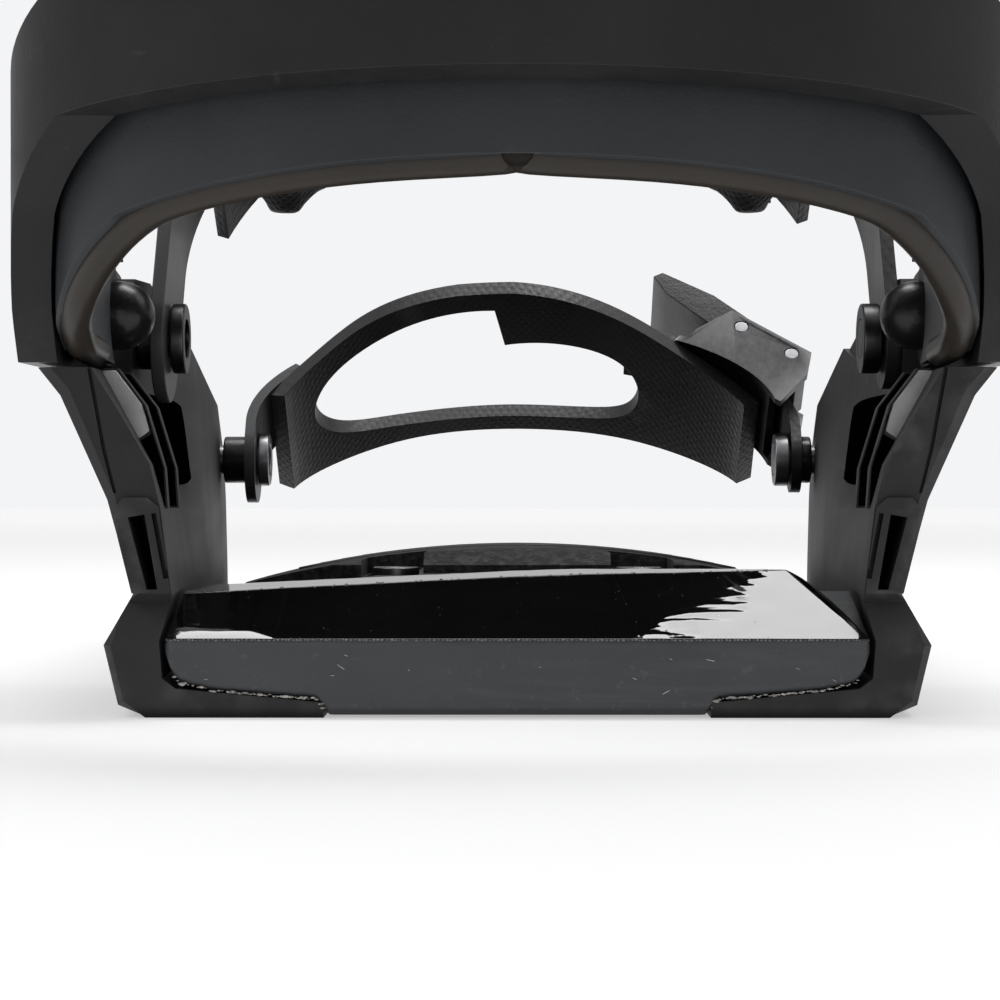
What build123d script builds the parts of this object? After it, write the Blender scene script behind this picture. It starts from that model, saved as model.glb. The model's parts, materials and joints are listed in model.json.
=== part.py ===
from build123d import *
import math
import os

# Snowboard binding for the right foot, millimetres.
# +X is the outer (buckle) side, +Y points to the toe, +Z is up.
# The origin is the centre of the mounting disc on the board's surface.

# ---- driving dimensions ----------------------------------------------------
HEEL_Y = -105.0          # rear face of the base
RAIL_END_Y = 104.0       # front end of the side rails
ANKLE_Y = -42.0          # where the flared arms have become plain rails
TOE_BOLT_Y = 78.0
FLOOR_Z = 9.0            # top of the base's floor
HEEL_FLOOR_Z = 3.0       # top of the thin floor under the heel pad
LEDGE_Z = 46.5           # top of the flared heel arms
DISC_R = 45.0
DISC_HOLE_R = 40.0
BOARD_HOLE_PITCH = 40.0
BOARD_HOLE_R = 3.25
RUN_GAP = 0.3            # gap between faces that move past each other
PIN_GAP = 0.05           # radial clearance of a running pin

LEG_IN_X = 60.2          # inner face of the heel hoop's legs
LEG_OUT_X = 65.4
EAR_IN_X = 56.2          # inner face of the base's ears
EAR_OUT_X = 60.0
WING_IN_X = 56.4         # inner face of the highback at its pivots
PIVOT_Y = -76.0          # highback pivot
PIVOT_Z = 54.8
ANKLE_PIVOT_Y = -58.0    # ankle strap pivot
ANKLE_PIVOT_Z = 52.5
TOE_PIVOT_Z = 36.0

ANKLE_R = 53.5           # half-width of the ankle strap at its connector
ANKLE_LEG = 18.0         # straight part of the strap's legs above the pivot
ANKLE_RISE = 50.0        # height of the arch above the straight part
ANKLE_LEAN = 33.0        # degrees that the strap leans to the toe
TOE_R = 53.4             # the same for the toe strap
TOE_LEG = 3.0
TOE_RISE = 26.6
TOE_LEAN = 38.0
TOE_WIDTH = 44.0

SPINE_SLOPE = 8.4        # degrees that the highback's spine leans forward

BOLT_R = 2.9
PIN_R = 1.5

HOOP_BOLT_Y = -41.0      # front bolt of the heel hoop's legs
HOOP_BOLT_Z = 51.5
HOOP_NUT_R = 5.4
HOOP_BEND_Y = -110.0     # where the hoop's straight legs end
HOOP_BACK_IN = 33.0      # depth of the hoop's inside behind that
HOOP_THICK = 5.2
HIGHBACK_T = 3.4
WING_FACE_X = 57.8       # inner face of the thinned wings at the pivots
SPINE_Y = -141.6         # rear face of the highback's spine at its lower end
SPINE_LOW_Z = 99.0

RIDGE_Y = -84.0          # top of the heel pad's slope
RIDGE_Z = 18.8
PAD_REAR_Z = 10.3        # top edge of the pad's rear face
CAP_SKIN = 1.4           # thickness of the glossy skin
CUSHION_Z = 1.5          # depth of the underside cushions
RAMP_SCREW_X = 24.0
RAMP_SCREW_Y = 76.0
RAMP_REAR_Y = 52.0
RAMP_NOSE_Y = 127.0
RAMP_TOP_Z = 15.4
RAMP_PAD_Z = 18.6
CROWN_R = 211.0          # radius of the ramp's crowned top, across it

STRAP_T = 2.0            # thickness of connectors, ladders and the ankle strap's skin
PLATE_T = 1.6            # thickness of a buckle's base plate
LADDER_OUT = 2.5         # how far a ladder's outer face stands outside the connector's
CAP_T = 3.2              # thickness of the toe cap
LEVER_PIN = (4.0, 8.8)   # up the strap and out of it, in a buckle's own frame
PAWL_PIN = (-8.0, 8.8)
CHEEK_T = 1.5


# ---- small helpers ---------------------------------------------------------
def block(low, high):
    """A box between two corners."""
    size = [b - a for a, b in zip(low, high)]
    centre = [(a + b) / 2 for a, b in zip(low, high)]
    return Pos(*centre) * Box(*size)


def outline(points):
    """A flat face through the points, wound so that it faces up."""
    pairs = zip(points, points[1:] + points[:1])
    twice_area = sum(x0 * y1 - x1 * y0 for (x0, y0), (x1, y1) in pairs)
    ordered = points if twice_area > 0 else points[::-1]
    return Polygon(*ordered, align=None)


def across(points, y0, y1):
    """An XZ outline extruded from y0 to y1."""
    return extrude(Plane.XZ.offset(-y1) * outline(points), amount=y1 - y0)


def side_cut(points, x0, x1):
    """A YZ outline extruded from x0 to x1."""
    return extrude(Plane.YZ.offset(x0) * outline(points), amount=x1 - x0)


def plan_cut(points, z0, z1):
    """An XY outline extruded from z0 to z1."""
    return extrude(Plane.XY.offset(z0) * outline(points), amount=z1 - z0)


def rod_x(radius, x0, x1, y, z):
    """A cylinder along X."""
    return Pos((x0 + x1) / 2, y, z) * Rot(0, 90, 0) * Cylinder(radius, abs(x1 - x0))


def rod_z(radius, z0, z1, x=0.0, y=0.0):
    """A cylinder along Z."""
    return Pos(x, y, (z0 + z1) / 2) * Cylinder(radius, z1 - z0)


def mirrored(part):
    """The same part on the inner side of the foot."""
    return mirror(part, about=Plane.YZ)


def both_sides(part):
    """The part and its mirror image, fused or side by side."""
    return part + mirrored(part)


def save(name, part):
    """Write one sub-part as its own file."""
    export_step(part, os.path.join("parts", name + ".step"))


# ---- base ------------------------------------------------------------------
# Cross-sections of the right-hand rail, outer side up and inner side down.
HEEL_SECTION = [
    (45.0, 0.0), (49.0, 0.0), (52.8, 1.6), (54.7, 9.5), (50.8, 16.2), (54.2, 28.7), (60.4, 42.5),
    (63.6, LEDGE_Z), (56.4, LEDGE_Z), (52.6, 40.6), (48.4, 33.4), (47.0, 27.5), (45.6, 16.2),
    (47.2, 10.0), (46.8, 5.0),
]
NECK_SECTION = [
    (47.2, 0.0), (51.2, 0.0), (55.0, 1.6), (56.8, 9.5), (54.8, 16.2), (57.0, 28.7), (61.6, 42.5),
    (63.8, LEDGE_Z), (56.6, LEDGE_Z), (54.8, 40.6), (51.6, 33.4), (49.6, 27.5), (47.9, 16.2),
    (47.8, 10.0), (47.6, 5.0),
]
ANKLE_SECTION = [
    (49.0, 0.0), (53.0, 0.0), (56.6, 1.6), (58.2, 9.5), (57.8, 16.2), (59.2, 28.7), (61.6, 42.5),
    (62.6, LEDGE_Z), (56.4, LEDGE_Z), (55.9, 40.6), (54.6, 33.4), (52.2, 27.5), (49.8, 16.2),
    (49.7, 10.0), (49.6, 5.0),
]
MID_SECTION = [
    (51.8, 0.0), (55.5, 0.0), (58.6, 1.6), (60.2, 9.5), (60.0, 16.2), (59.8, 27.0), (59.6, 43.0),
    (59.0, 54.0), (55.4, 54.0), (54.6, 43.0), (53.7, 34.0), (53.0, 26.0), (52.5, 16.2),
    (52.4, 10.0), (52.3, 5.0),
]
TOE_SECTION = [
    (57.0, 0.0), (60.4, 0.0), (63.2, 1.6), (64.4, 9.5), (64.2, 16.2), (63.6, 27.0), (63.0, 39.0),
    (62.2, LEDGE_Z), (58.6, LEDGE_Z), (58.4, 40.0), (58.2, 34.0), (58.0, 27.0), (57.7, 16.2),
    (57.6, 10.0), (57.5, 5.0),
]
END_SECTION = [
    (59.8, 0.0), (62.6, 0.0), (65.0, 1.6), (66.0, 9.5), (65.8, 16.2), (65.4, 23.0), (65.0, 31.0),
    (64.4, 37.0), (61.0, 37.0), (60.8, 33.0), (60.6, 28.0), (60.5, 22.0), (60.3, 16.2),
    (60.2, 10.0), (60.1, 5.0),
]
# The rear face, smaller by the chamfer along the arm's outer edge.
REAR_SECTION = [
    (45.0, 0.0), (49.0, 0.0), (51.9, 2.2), (53.6, 9.5), (49.9, 16.2), (53.0, 29.2), (59.0, 43.2),
    (61.8, LEDGE_Z), (56.4, LEDGE_Z), (52.6, 40.6), (48.4, 33.4), (47.0, 27.5), (45.6, 16.2),
    (47.2, 10.0), (46.8, 5.0),
]
RAIL_STATIONS = [
    (HEEL_Y, REAR_SECTION),
    (HEEL_Y + 1.4, HEEL_SECTION),
    (-72.0, NECK_SECTION),
    (ANKLE_Y, ANKLE_SECTION),
    (0.0, MID_SECTION),
    (TOE_BOLT_Y - 8.0, TOE_SECTION),
    (RAIL_END_Y, END_SECTION),
]


def rail():
    """The right-hand rail: ruled lofts from station to station."""
    whole = None
    for (y0, low), (y1, high) in zip(RAIL_STATIONS, RAIL_STATIONS[1:]):
        ends = [Plane.XZ.offset(-y) * outline(p) for y, p in ((y0, low), (y1, high))]
        span = loft(ends, ruled=True)
        whole = span if whole is None else whole + span
    return whole


def ear():
    """The upright plate that the hoop and the ankle strap bolt to."""
    shape = [
        (-66.6, LEDGE_Z - 4.0), (-66.6, 57.0), (-63.0, 61.0), (-46.0, 61.6), (-32.0, 59.6),
        (-14.0, 56.0), (2.0, 53.0), (2.0, 42.0), (-40.0, 38.0),
    ]
    return side_cut(shape, EAR_IN_X, EAR_OUT_X)


def arm_ribs():
    """Two stiffening ribs on the inside of the flared heel arm."""
    ribs = None
    for y in (-94.0, -82.0):
        shape = [(57.4, LEDGE_Z), (54.2, LEDGE_Z), (50.4, 41.5), (47.8, 33.0), (47.4, 27.5), (50.0, 27.5)]
        rib = across(shape, y, y + 2.2)
        ribs = rib if ribs is None else ribs + rib
    return ribs


def slot_frame():
    """The raised rounded frame around the slot in the rail's rear end."""
    shape = [
        (45.7, 16.4), (50.7, 16.4), (52.6, 24.0), (52.9, 27.6), (51.9, 29.0), (48.6, 29.0),
        (47.2, 27.8),
    ]
    return across(shape, HEEL_Y - 0.8, HEEL_Y + 2.0)


def rear_slots():
    """The leaning slot and the thin groove beside it."""
    slot = across([(47.3, 16.9), (48.7, 16.9), (51.2, 26.4), (49.0, 26.8)], HEEL_Y - 2.0, HEEL_Y + 13.0)
    groove = across([(45.9, 18.4), (46.5, 18.3), (48.1, 26.9), (47.5, 27.0)], HEEL_Y - 2.0, HEEL_Y + 0.8)
    return slot + groove


def side_pockets():
    """Shallow pockets in the outside of the rail, with slanted ribs between them."""
    rear = [
        [(-36.0, 21.0), (-20.0, 21.0), (-29.0, 41.0), (-36.0, 41.0)],
        [(-15.0, 21.0), (2.0, 21.0), (2.0, 44.0), (-25.0, 43.0)],
    ]
    front = [
        [(6.5, 21.0), (31.0, 21.0), (21.0, 42.5), (6.5, 44.0)],
        [(36.0, 21.0), (60.0, 21.0), (60.0, 30.0), (52.0, 38.0), (26.5, 41.5)],
    ]
    cuts = None
    for points, turn in [(p, 0.0) for p in rear] + [(p, -3.2) for p in front]:
        shape = Plane.YZ.offset(-2.4) * fillet(outline(points).vertices(), 2.5)
        cut = Pos(60.0, 0, 0) * Rot(0, 0, turn) * extrude(shape, amount=20.0)
        cuts = cut if cuts is None else cuts + cut
    return cuts


def rear_relief():
    """The facet above the heel end's block, and the fold line up the arm's rear face."""
    notch = [(-107.0, 10.1), (HEEL_Y, 10.1), (HEEL_Y + 2.2, 15.2), (HEEL_Y, 16.4), (-107.0, 16.4)]
    facet = side_cut(notch, 40.0, 60.0)
    fold = [
        (56.8, 47.0), (56.0, 42.6), (54.7, 35.4), (53.2, 29.6), (52.8, 29.6), (54.2, 35.4), (55.5, 42.6),
        (56.3, 47.0),
    ]
    return facet + across(fold, HEEL_Y - 1.0, HEEL_Y + 0.9)


def floor_plate():
    """The floor with the disc's stepped hole and the slots for the ramp screws."""
    thick = plan_cut([(-50.5, -58.0), (50.5, -58.0), (60.8, 102.0), (-60.8, 102.0)], 0.0, FLOOR_Z)
    thin = block((-49.0, -88.0, 0.0), (49.0, -57.0, HEEL_FLOOR_Z))
    plate = thick + thin
    plate -= rod_z(DISC_R + 0.4, HEEL_FLOOR_Z, FLOOR_Z + 1.0)
    plate -= rod_z(DISC_HOLE_R, -1.0, HEEL_FLOOR_Z + 1.0)
    for x in (-24.0, 24.0):
        plate -= rod_z(BOLT_R - 0.4 + 0.1, 3.0, FLOOR_Z + 1.0, x, RAMP_SCREW_Y)
    return plate


def heel_foot():
    """The shelf of the L-shaped heel end that carries the pad's lower corner."""
    shape = [(25.5, 0.0), (25.5, 2.0), (45.0, 3.8), (47.4, 5.6), (48.4, 0.0)]
    return across(shape, HEEL_Y, -86.0)


def cushion_shapes(gap):
    """The two underside cushions, grown by a gap for their recesses."""
    toe = plan_cut(
        [(-44 - gap, 54 - gap), (44 + gap, 54 - gap), (48 + gap, 96 + gap), (-48 - gap, 96 + gap)],
        0.0, CUSHION_Z + gap)
    heel = block((-40 - gap, -84 - gap, 0.0), (40 + gap, -50 + gap, CUSHION_Z + gap))
    return toe, heel


def baseplate():
    """The moulded base: floor, rails, flared arms, heel feet, ears."""
    side = rail() + ear() + arm_ribs() + slot_frame() + heel_foot()
    side -= rear_slots() + rear_relief() + side_pockets()
    # Space for the highback's wing beside its pivot.
    side -= block((56.0, -112.0, LEDGE_Z - 0.3), (70.0, -66.6, 70.0))
    base = both_sides(side) + floor_plate()
    for recess in cushion_shapes(0.0):
        base -= recess
    holes = rod_x(BOLT_R + 0.1, EAR_IN_X - 3, EAR_OUT_X + 6, ANKLE_PIVOT_Y, ANKLE_PIVOT_Z)
    holes += rod_x(BOLT_R + 0.1, EAR_IN_X - 3, EAR_OUT_X + 6, HOOP_BOLT_Y, HOOP_BOLT_Z)
    holes += rod_x(HOOP_NUT_R + 0.05, EAR_IN_X - 6, EAR_IN_X + 2.2, HOOP_BOLT_Y, HOOP_BOLT_Z)
    holes += rod_x(BOLT_R + 0.1, 50, 70, TOE_BOLT_Y, TOE_PIVOT_Z)
    base -= both_sides(holes)
    return base


# ---- disc ------------------------------------------------------------------
def mounting_disc():
    """The stance disc, with four countersunk holes for the board's screws."""
    disc = rod_z(DISC_R, HEEL_FLOOR_Z + RUN_GAP, FLOOR_Z - 0.4)
    disc += rod_z(DISC_HOLE_R - 0.4, 0.0, HEEL_FLOOR_Z + RUN_GAP)
    disc -= rod_z(36.0, 6.6, 10.0)
    disc += rod_z(7.0, 6.0, 7.6)
    half = BOARD_HOLE_PITCH / 2
    for x in (-half, half):
        for y in (-half, half):
            disc += rod_z(9.0, 6.0, 8.0, x, y)
            disc -= rod_z(BOARD_HOLE_R, -1.0, 10.0, x, y)
            disc -= Pos(x, y, 6.4) * Cone(BOARD_HOLE_R, 6.6, 3.3)
    # Finger recesses for turning the disc.
    for angle in range(0, 360, 45):
        spot = Rot(0, 0, angle + 22.5) * Pos(40.5, 0, FLOOR_Z) * Cylinder(2.6, 3.0)
        disc -= spot
    return disc


# ---- heel pad, footbed, cushions --------------------------------------------
def heel_pad():
    """The rubbery pad body with its exposed rear face."""
    profile = [
        (HEEL_Y, 0.3), (HEEL_Y, PAD_REAR_Z), (RIDGE_Y, RIDGE_Z - CAP_SKIN), (-58.8, 18.4 - CAP_SKIN),
        (-58.8, 3.1), (-88.2, 3.1), (-88.2, 0.3),
    ]
    body = side_cut(profile, -46.4, 46.4)
    # Lower corners follow the shelves of the heel ends.
    for side in (-1, 1):
        corner = [(25.0 * side, -1.0), (25.0 * side, 2.5), (44.4 * side, 4.3), (47.0 * side, 6.9),
                  (47.0 * side, -1.0)]
        body -= across(corner, HEEL_Y - 1.0, -50.0)
        body -= pad_side_cut(side)
    return body


def pad_side_cut(side):
    """The chamfer that narrows the pad's top from the rear corners to the ridge."""
    outer = 60.0 * side
    low = [(outer, 10.3), (46.4 * side, 10.3), (46.4 * side, 30.0), (outer, 30.0)]
    high = [(outer, 10.3), (46.2 * side, 10.3), (39.0 * side, 19.5), (outer, 19.5)]
    planes = [Plane.XZ.offset(-(HEEL_Y - 0.5)), Plane.XZ.offset(-RIDGE_Y)]
    first = loft([planes[0] * outline(low), planes[1] * outline(high)], ruled=True)
    rest = extrude(planes[1] * outline(high), amount=-30.0)
    return first + rest


def heel_pad_cap():
    """The glossy moulded skin over the pad's slope and top."""
    gap = 0.02
    profile = [
        (HEEL_Y, PAD_REAR_Z + gap), (HEEL_Y + 0.4, PAD_REAR_Z + 0.7), (RIDGE_Y, RIDGE_Z), (-59.2, 18.4),
        (-59.2, 18.4 - CAP_SKIN + gap), (RIDGE_Y, RIDGE_Z - CAP_SKIN + gap),
    ]
    skin = side_cut(profile, -46.3, 46.3)
    for side in (-1, 1):
        skin -= pad_side_cut(side)
    return skin


def footbed_pad():
    """The thin pad on the floor around the disc."""
    pad = plan_cut([(-48.6, -57.6), (48.6, -57.6), (54.4, 50.0), (-54.4, 50.0)], FLOOR_Z, FLOOR_Z + 2.6)
    pad -= rod_z(DISC_R + 1.5, FLOOR_Z - 1.0, FLOOR_Z + 5.0)
    return pad


def underside_cushions():
    """Two foam cushions in the base's underside."""
    toe, heel = cushion_shapes(-0.2)
    return toe + (heel - rod_z(DISC_HOLE_R + 3.0, -1.0, 4.0))


# ---- toe ramp ----------------------------------------------------------------
def ramp_plan(inset):
    """The ramp's plan outline: straight sides and a rounded nose."""
    rear_x = 54.6 - inset
    side_x = 57.6 - inset
    shoulder_y = 92.0
    depth = RAMP_NOSE_Y - inset - shoulder_y
    with BuildSketch() as plan:
        with BuildLine():
            Polyline((-side_x, shoulder_y), (-rear_x, RAMP_REAR_Y + inset), (rear_x, RAMP_REAR_Y + inset),
                     (side_x, shoulder_y))
            EllipticalCenterArc((0, shoulder_y), side_x, depth, start_angle=0, arc_size=180)
        make_face()
    return plan.sketch


def crown(top_z):
    """The space under a shallow arch across the ramp."""
    bar = Pos(0, (RAMP_REAR_Y + RAMP_NOSE_Y) / 2, top_z - CROWN_R) * Rot(90, 0, 0) * Cylinder(CROWN_R, 120.0)
    return bar & block((-60.0, 30.0, 0.0), (60.0, 140.0, 40.0))


def toe_ramp_body():
    """The ramp before its slots are cut."""
    body = extrude(Plane.XY * ramp_plan(0.0), amount=20.0) & crown(RAMP_TOP_Z)
    profile = [
        (RAMP_REAR_Y, FLOOR_Z + RUN_GAP), (RAMP_REAR_Y, 12.4), (66.0, RAMP_TOP_Z), (112.0, RAMP_TOP_Z),
        (124.0, 12.5), (127.5, 8.0), (127.0, 3.5), (122.0, 2.5), (105.0, 2.5), (105.0, FLOOR_Z + RUN_GAP),
    ]
    return body & side_cut(profile, -60.0, 60.0)


def toe_ramp():
    """The sliding ramp under the toe, with two slots for its screws."""
    ramp = toe_ramp_body()
    for x in (-RAMP_SCREW_X, RAMP_SCREW_X):
        ramp -= block((x - 2.7, RAMP_SCREW_Y - 15.0, 0.0), (x + 2.7, RAMP_SCREW_Y + 3.0, 20.0))
        ramp -= block((x - 5.2, RAMP_SCREW_Y - 18.0, 12.0), (x + 5.2, RAMP_SCREW_Y + 6.0, 20.0))
    return ramp


def ramp_pad():
    """The grippy pad on top of the ramp."""
    body = extrude(Plane.XY * ramp_plan(2.5), amount=25.0) & crown(RAMP_PAD_Z)
    profile = [
        (60.0, 10.4), (118.0, 10.4), (120.0, 14.6), (111.0, RAMP_PAD_Z), (66.0, RAMP_PAD_Z), (60.0, 15.6),
    ]
    pad = body & side_cut(profile, -60.0, 60.0)
    pad -= toe_ramp_body()
    for x in (-RAMP_SCREW_X, RAMP_SCREW_X):
        pad -= block((x - 6.0, RAMP_SCREW_Y - 19.0, 10.0), (x + 6.0, RAMP_SCREW_Y + 7.0, 30.0))
    return pad


def ramp_screws():
    """Two pan-head screws that hold the ramp to the floor."""
    screws = None
    for x in (-RAMP_SCREW_X, RAMP_SCREW_X):
        screw = rod_z(BOLT_R - 0.4, 3.0, 12.4, x, RAMP_SCREW_Y)
        screw += rod_z(4.6, 12.3, 14.8, x, RAMP_SCREW_Y)
        screw -= extrude(Plane.XY.offset(13.2) * Pos(x, RAMP_SCREW_Y) * RegularPolygon(2.3, 6), amount=3.0)
        screws = screw if screws is None else screws + screw
    return screws


# ---- heel hoop -----------------------------------------------------------------
def d_shape(half_width, bend_y, depth, front_y):
    """A D in plan: two straight sides and a half-ellipse at the heel."""
    with BuildSketch() as plan:
        with BuildLine():
            Polyline((half_width, bend_y), (half_width, front_y), (-half_width, front_y),
                     (-half_width, bend_y))
            EllipticalCenterArc((0, bend_y), half_width, depth, start_angle=180, arc_size=180)
        make_face()
    return plan.sketch


def heel_hoop():
    """The heel hoop: two bolted legs and a band round the back."""
    back = HOOP_BACK_IN + HOOP_THICK
    outer = extrude(Plane.XY.offset(30.0) * d_shape(LEG_OUT_X, HOOP_BEND_Y, back, -20.0), amount=90.0)
    inner = extrude(Plane.XY.offset(29.0) * d_shape(LEG_IN_X, HOOP_BEND_Y, HOOP_BACK_IN, 0.0), amount=92.0)
    side = [
        (-34.0, 50.0), (-38.0, LEDGE_Z + 0.6), (-107.0, LEDGE_Z + 0.2), (-111.5, 53.0), (-117.0, 65.0),
        (-129.0, 76.0), (-152.0, 80.0), (-152.0, 97.0), (-132.0, 94.5), (-116.0, 85.0), (-100.0, 73.0),
        (-84.0, 66.5),
        (-50.0, 62.5), (-38.0, 59.5), (-34.0, 56.0),
    ]
    hoop = (outer - inner) & side_cut(side, -80.0, 80.0)
    holes = rod_x(BOLT_R + 0.1, LEG_IN_X - 2, LEG_OUT_X + 2, ANKLE_PIVOT_Y, ANKLE_PIVOT_Z)
    holes += rod_x(BOLT_R + 0.1, LEG_IN_X - 2, LEG_OUT_X + 2, PIVOT_Y, PIVOT_Z)
    holes += rod_x(BOLT_R + 0.1, LEG_IN_X - 2, LEG_OUT_X + 2, HOOP_BOLT_Y, HOOP_BOLT_Z)
    return hoop - both_sides(holes)


def through_bolt(head_x, tip_x, y, z, head_r=5.0, head_t=2.4):
    """A button-head bolt along X with a hexagon socket; its head is at head_x."""
    bolt = rod_x(BOLT_R, tip_x, head_x, y, z) + rod_x(head_r, head_x, head_x + head_t, y, z)
    socket = extrude(Plane.YZ.offset(head_x + head_t - 1.4) * Pos(y, z) * RegularPolygon(2.2, 6), amount=3.0)
    return bolt - socket


def domed_nut(base_x, y, z, radius, collar):
    """A nut with a ball-shaped end that points to the foot."""
    ball = Pos(base_x - collar, y, z) * Sphere(radius)
    ball = ball & block((base_x - 12.0, y - 9.0, z - 9.0), (base_x - collar * 0.9, y + 9.0, z + 9.0))
    nut = rod_x(radius, base_x - collar, base_x, y, z) + ball
    return nut - rod_x(BOLT_R, base_x - 3.6, base_x + 1.0, y, z)


def hoop_bolts():
    """The bolts that clamp the hoop's legs to the ears."""
    return both_sides(through_bolt(LEG_OUT_X, EAR_IN_X + 0.3, HOOP_BOLT_Y, HOOP_BOLT_Z))


def hoop_nuts():
    """T-nuts sunk in the inside of the ears."""
    nut = rod_x(HOOP_NUT_R, EAR_IN_X + 0.2, EAR_IN_X + 2.2, HOOP_BOLT_Y, HOOP_BOLT_Z)
    nut -= rod_x(BOLT_R, EAR_IN_X - 1, EAR_IN_X + 3, HOOP_BOLT_Y, HOOP_BOLT_Z)
    return both_sides(nut)


def highback_pivots():
    """The bolts that carry the highback in the hoop."""
    return both_sides(through_bolt(LEG_OUT_X, WING_FACE_X - 3.6, PIVOT_Y, PIVOT_Z))


def highback_nuts():
    """Domed nuts on the pivot bolts, inside the highback's wings."""
    return both_sides(domed_nut(WING_FACE_X - 0.2, PIVOT_Y, PIVOT_Z, 4.9, 1.2))


def ankle_pivots():
    """The bolts through hoop, ear and ankle strap."""
    return both_sides(through_bolt(LEG_OUT_X, ANKLE_R - 2.6, ANKLE_PIVOT_Y, ANKLE_PIVOT_Z))


# ---- highback --------------------------------------------------------------------
HIGHBACK_STATIONS = [
    # height, half-width, bend line, depth behind the bend
    (40.0, 59.5, -108.0, 32.2),
    (100.0, 58.4, -106.5, 31.6),
    (165.0, 51.0, -98.0, 30.5),
    (245.0, 41.0, -90.0, 28.0),
]


def highback_form(inset, low_extra=0.0):
    """The highback's outer form, or a form inside it when inset."""
    planes = []
    for z, half_width, bend, depth in HIGHBACK_STATIONS:
        shape = d_shape(half_width - inset, bend, depth - inset, -50.0 + low_extra)
        planes.append(Plane.XY.offset(z) * shape)
    return loft(planes)


def highback_side():
    """The side view that trims the highback: wings, lower rim, receding front edges, round top."""
    with BuildSketch(Plane.YZ) as view:
        with BuildLine():
            Polyline((-73.0, 47.4), (-104.0, 48.4), (-114.0, 53.0), (-126.0, 64.0), (-150.0, 74.0),
                     (-150.0, 240.0), (-96.0, 240.0), (-86.0, 226.0), (-84.0, 200.0), (-89.0, 140.0),
                     (-84.0, 98.0), (-75.8, 76.0), (-74.5, 66.0), (-69.9, 60.6), (-67.6, 54.8),
                     (-69.9, 49.0), (-73.0, 47.4))
        make_face()
    return extrude(view.sketch, amount=90.0, both=True)


def highback_front():
    """The rear view that trims the top corners."""
    with BuildSketch(Plane.XZ.offset(40.0)) as view:
        with BuildLine():
            Polyline((-70.0, 205.0), (-70.0, 30.0), (70.0, 30.0), (70.0, 205.0), (46.6, 205.0))
            EllipticalCenterArc((0, 205.0), 46.6, 31.0, start_angle=0, arc_size=180)
            Line((-46.6, 205.0), (-70.0, 205.0))
        make_face()
    return extrude(view.sketch, amount=130.0)


def spine():
    """The raised spine that the lean block slides on."""
    rise = 62.0
    slope = math.tan(math.radians(SPINE_SLOPE))
    shape = [
        (SPINE_Y, SPINE_LOW_Z), (SPINE_Y + rise * slope, SPINE_LOW_Z + rise),
        (SPINE_Y + rise * slope + 12.0, SPINE_LOW_Z + rise), (SPINE_Y + 10.0, SPINE_LOW_Z),
    ]
    return side_cut(shape, -7.0, 7.0)


def highback_shell():
    """The highback: a curved shell with wings, windows and a spine."""
    form = highback_form(0.0) + spine()
    shell = form - highback_form(HIGHBACK_T, 5.0)
    shell = shell & highback_side()
    shell = shell & highback_front()
    for side in (-1, 1):
        window = [
            (13.0 * side, 116.0), (30.0 * side, 122.0), (31.0 * side, 150.0), (26.0 * side, 178.0),
            (13.0 * side, 184.0),
        ]
        opening = Plane.XZ.offset(100.0) * fillet(outline(window).vertices(), 4.0)
        shell -= extrude(opening, amount=60.0)
    pivots = rod_x(BOLT_R + PIN_GAP, 50.0, 66.0, PIVOT_Y, PIVOT_Z)
    pivots += rod_x(9.0, 50.0, WING_FACE_X, PIVOT_Y, PIVOT_Z)
    shell -= both_sides(pivots)
    return shell


def inner_pad(z_low, z_high, half_width, thickness):
    """A foam pad that lies against the inside of the highback."""
    shell = highback_form(HIGHBACK_T, 4.0) - highback_form(HIGHBACK_T + thickness, 8.0)
    return shell & block((-half_width, -150.0, z_low), (half_width, -100.0, z_high))


def on_spine(y_out, along):
    """The YZ point that lies y_out behind the spine's face, and this far along it."""
    angle = math.radians(SPINE_SLOPE)
    base_y = SPINE_Y + along * math.sin(angle)
    base_z = SPINE_LOW_Z + along * math.cos(angle)
    return (base_y - y_out * math.cos(angle), base_z + y_out * math.sin(angle))


def lean_block():
    """The forward-lean block: it rests on the hoop and slides on the spine."""
    low = 97.5
    shape = [
        on_spine(RUN_GAP, 0.2), on_spine(RUN_GAP, 26.0), on_spine(6.0, 28.0), on_spine(9.0, 25.0),
        on_spine(9.0, 3.0), (-151.4, low), (-143.0, low),
    ]
    body = side_cut(shape, -12.0, 12.0)
    body -= rod_x(PIN_R, -13.0, 13.0, *on_spine(11.0, 6.0))
    body -= rod_x(3.5, -9.1, 9.1, *on_spine(11.0, 6.0))
    ears = side_cut([on_spine(8.8, 1.0), on_spine(8.8, 12.0), on_spine(13.4, 9.0), on_spine(13.4, 3.0)],
                    9.2, 12.0)
    ears -= rod_x(PIN_R, 8.0, 13.0, *on_spine(11.0, 6.0))
    return body + both_sides(ears)


def lean_pin():
    """The lever's pin."""
    return rod_x(PIN_R, -12.0, 12.0, *on_spine(11.0, 6.0))


def lean_lever():
    """The flip lever that clamps the block."""
    shape = [
        on_spine(9.5, 3.4), on_spine(12.8, 3.2), on_spine(13.2, 10.0), on_spine(12.2, 24.0),
        on_spine(14.2, 33.0), on_spine(11.8, 33.6), on_spine(9.4, 24.0),
    ]
    lever = side_cut(shape, -8.9, 8.9)
    return lever - rod_x(PIN_R + PIN_GAP, -13.0, 13.0, *on_spine(11.0, 6.0))


# ---- straps ------------------------------------------------------------------------
# An arch: its plane, its outer half-width, its rise, and the straight leg below it.
def strap_plane(pivot_y, pivot_z, lean):
    """The plane of a strap's arch, leaning to the toe by an angle."""
    a = math.radians(lean)
    return Plane(origin=(0, pivot_y, pivot_z), x_dir=(1, 0, 0), z_dir=(0, -math.cos(a), math.sin(a)))


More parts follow.
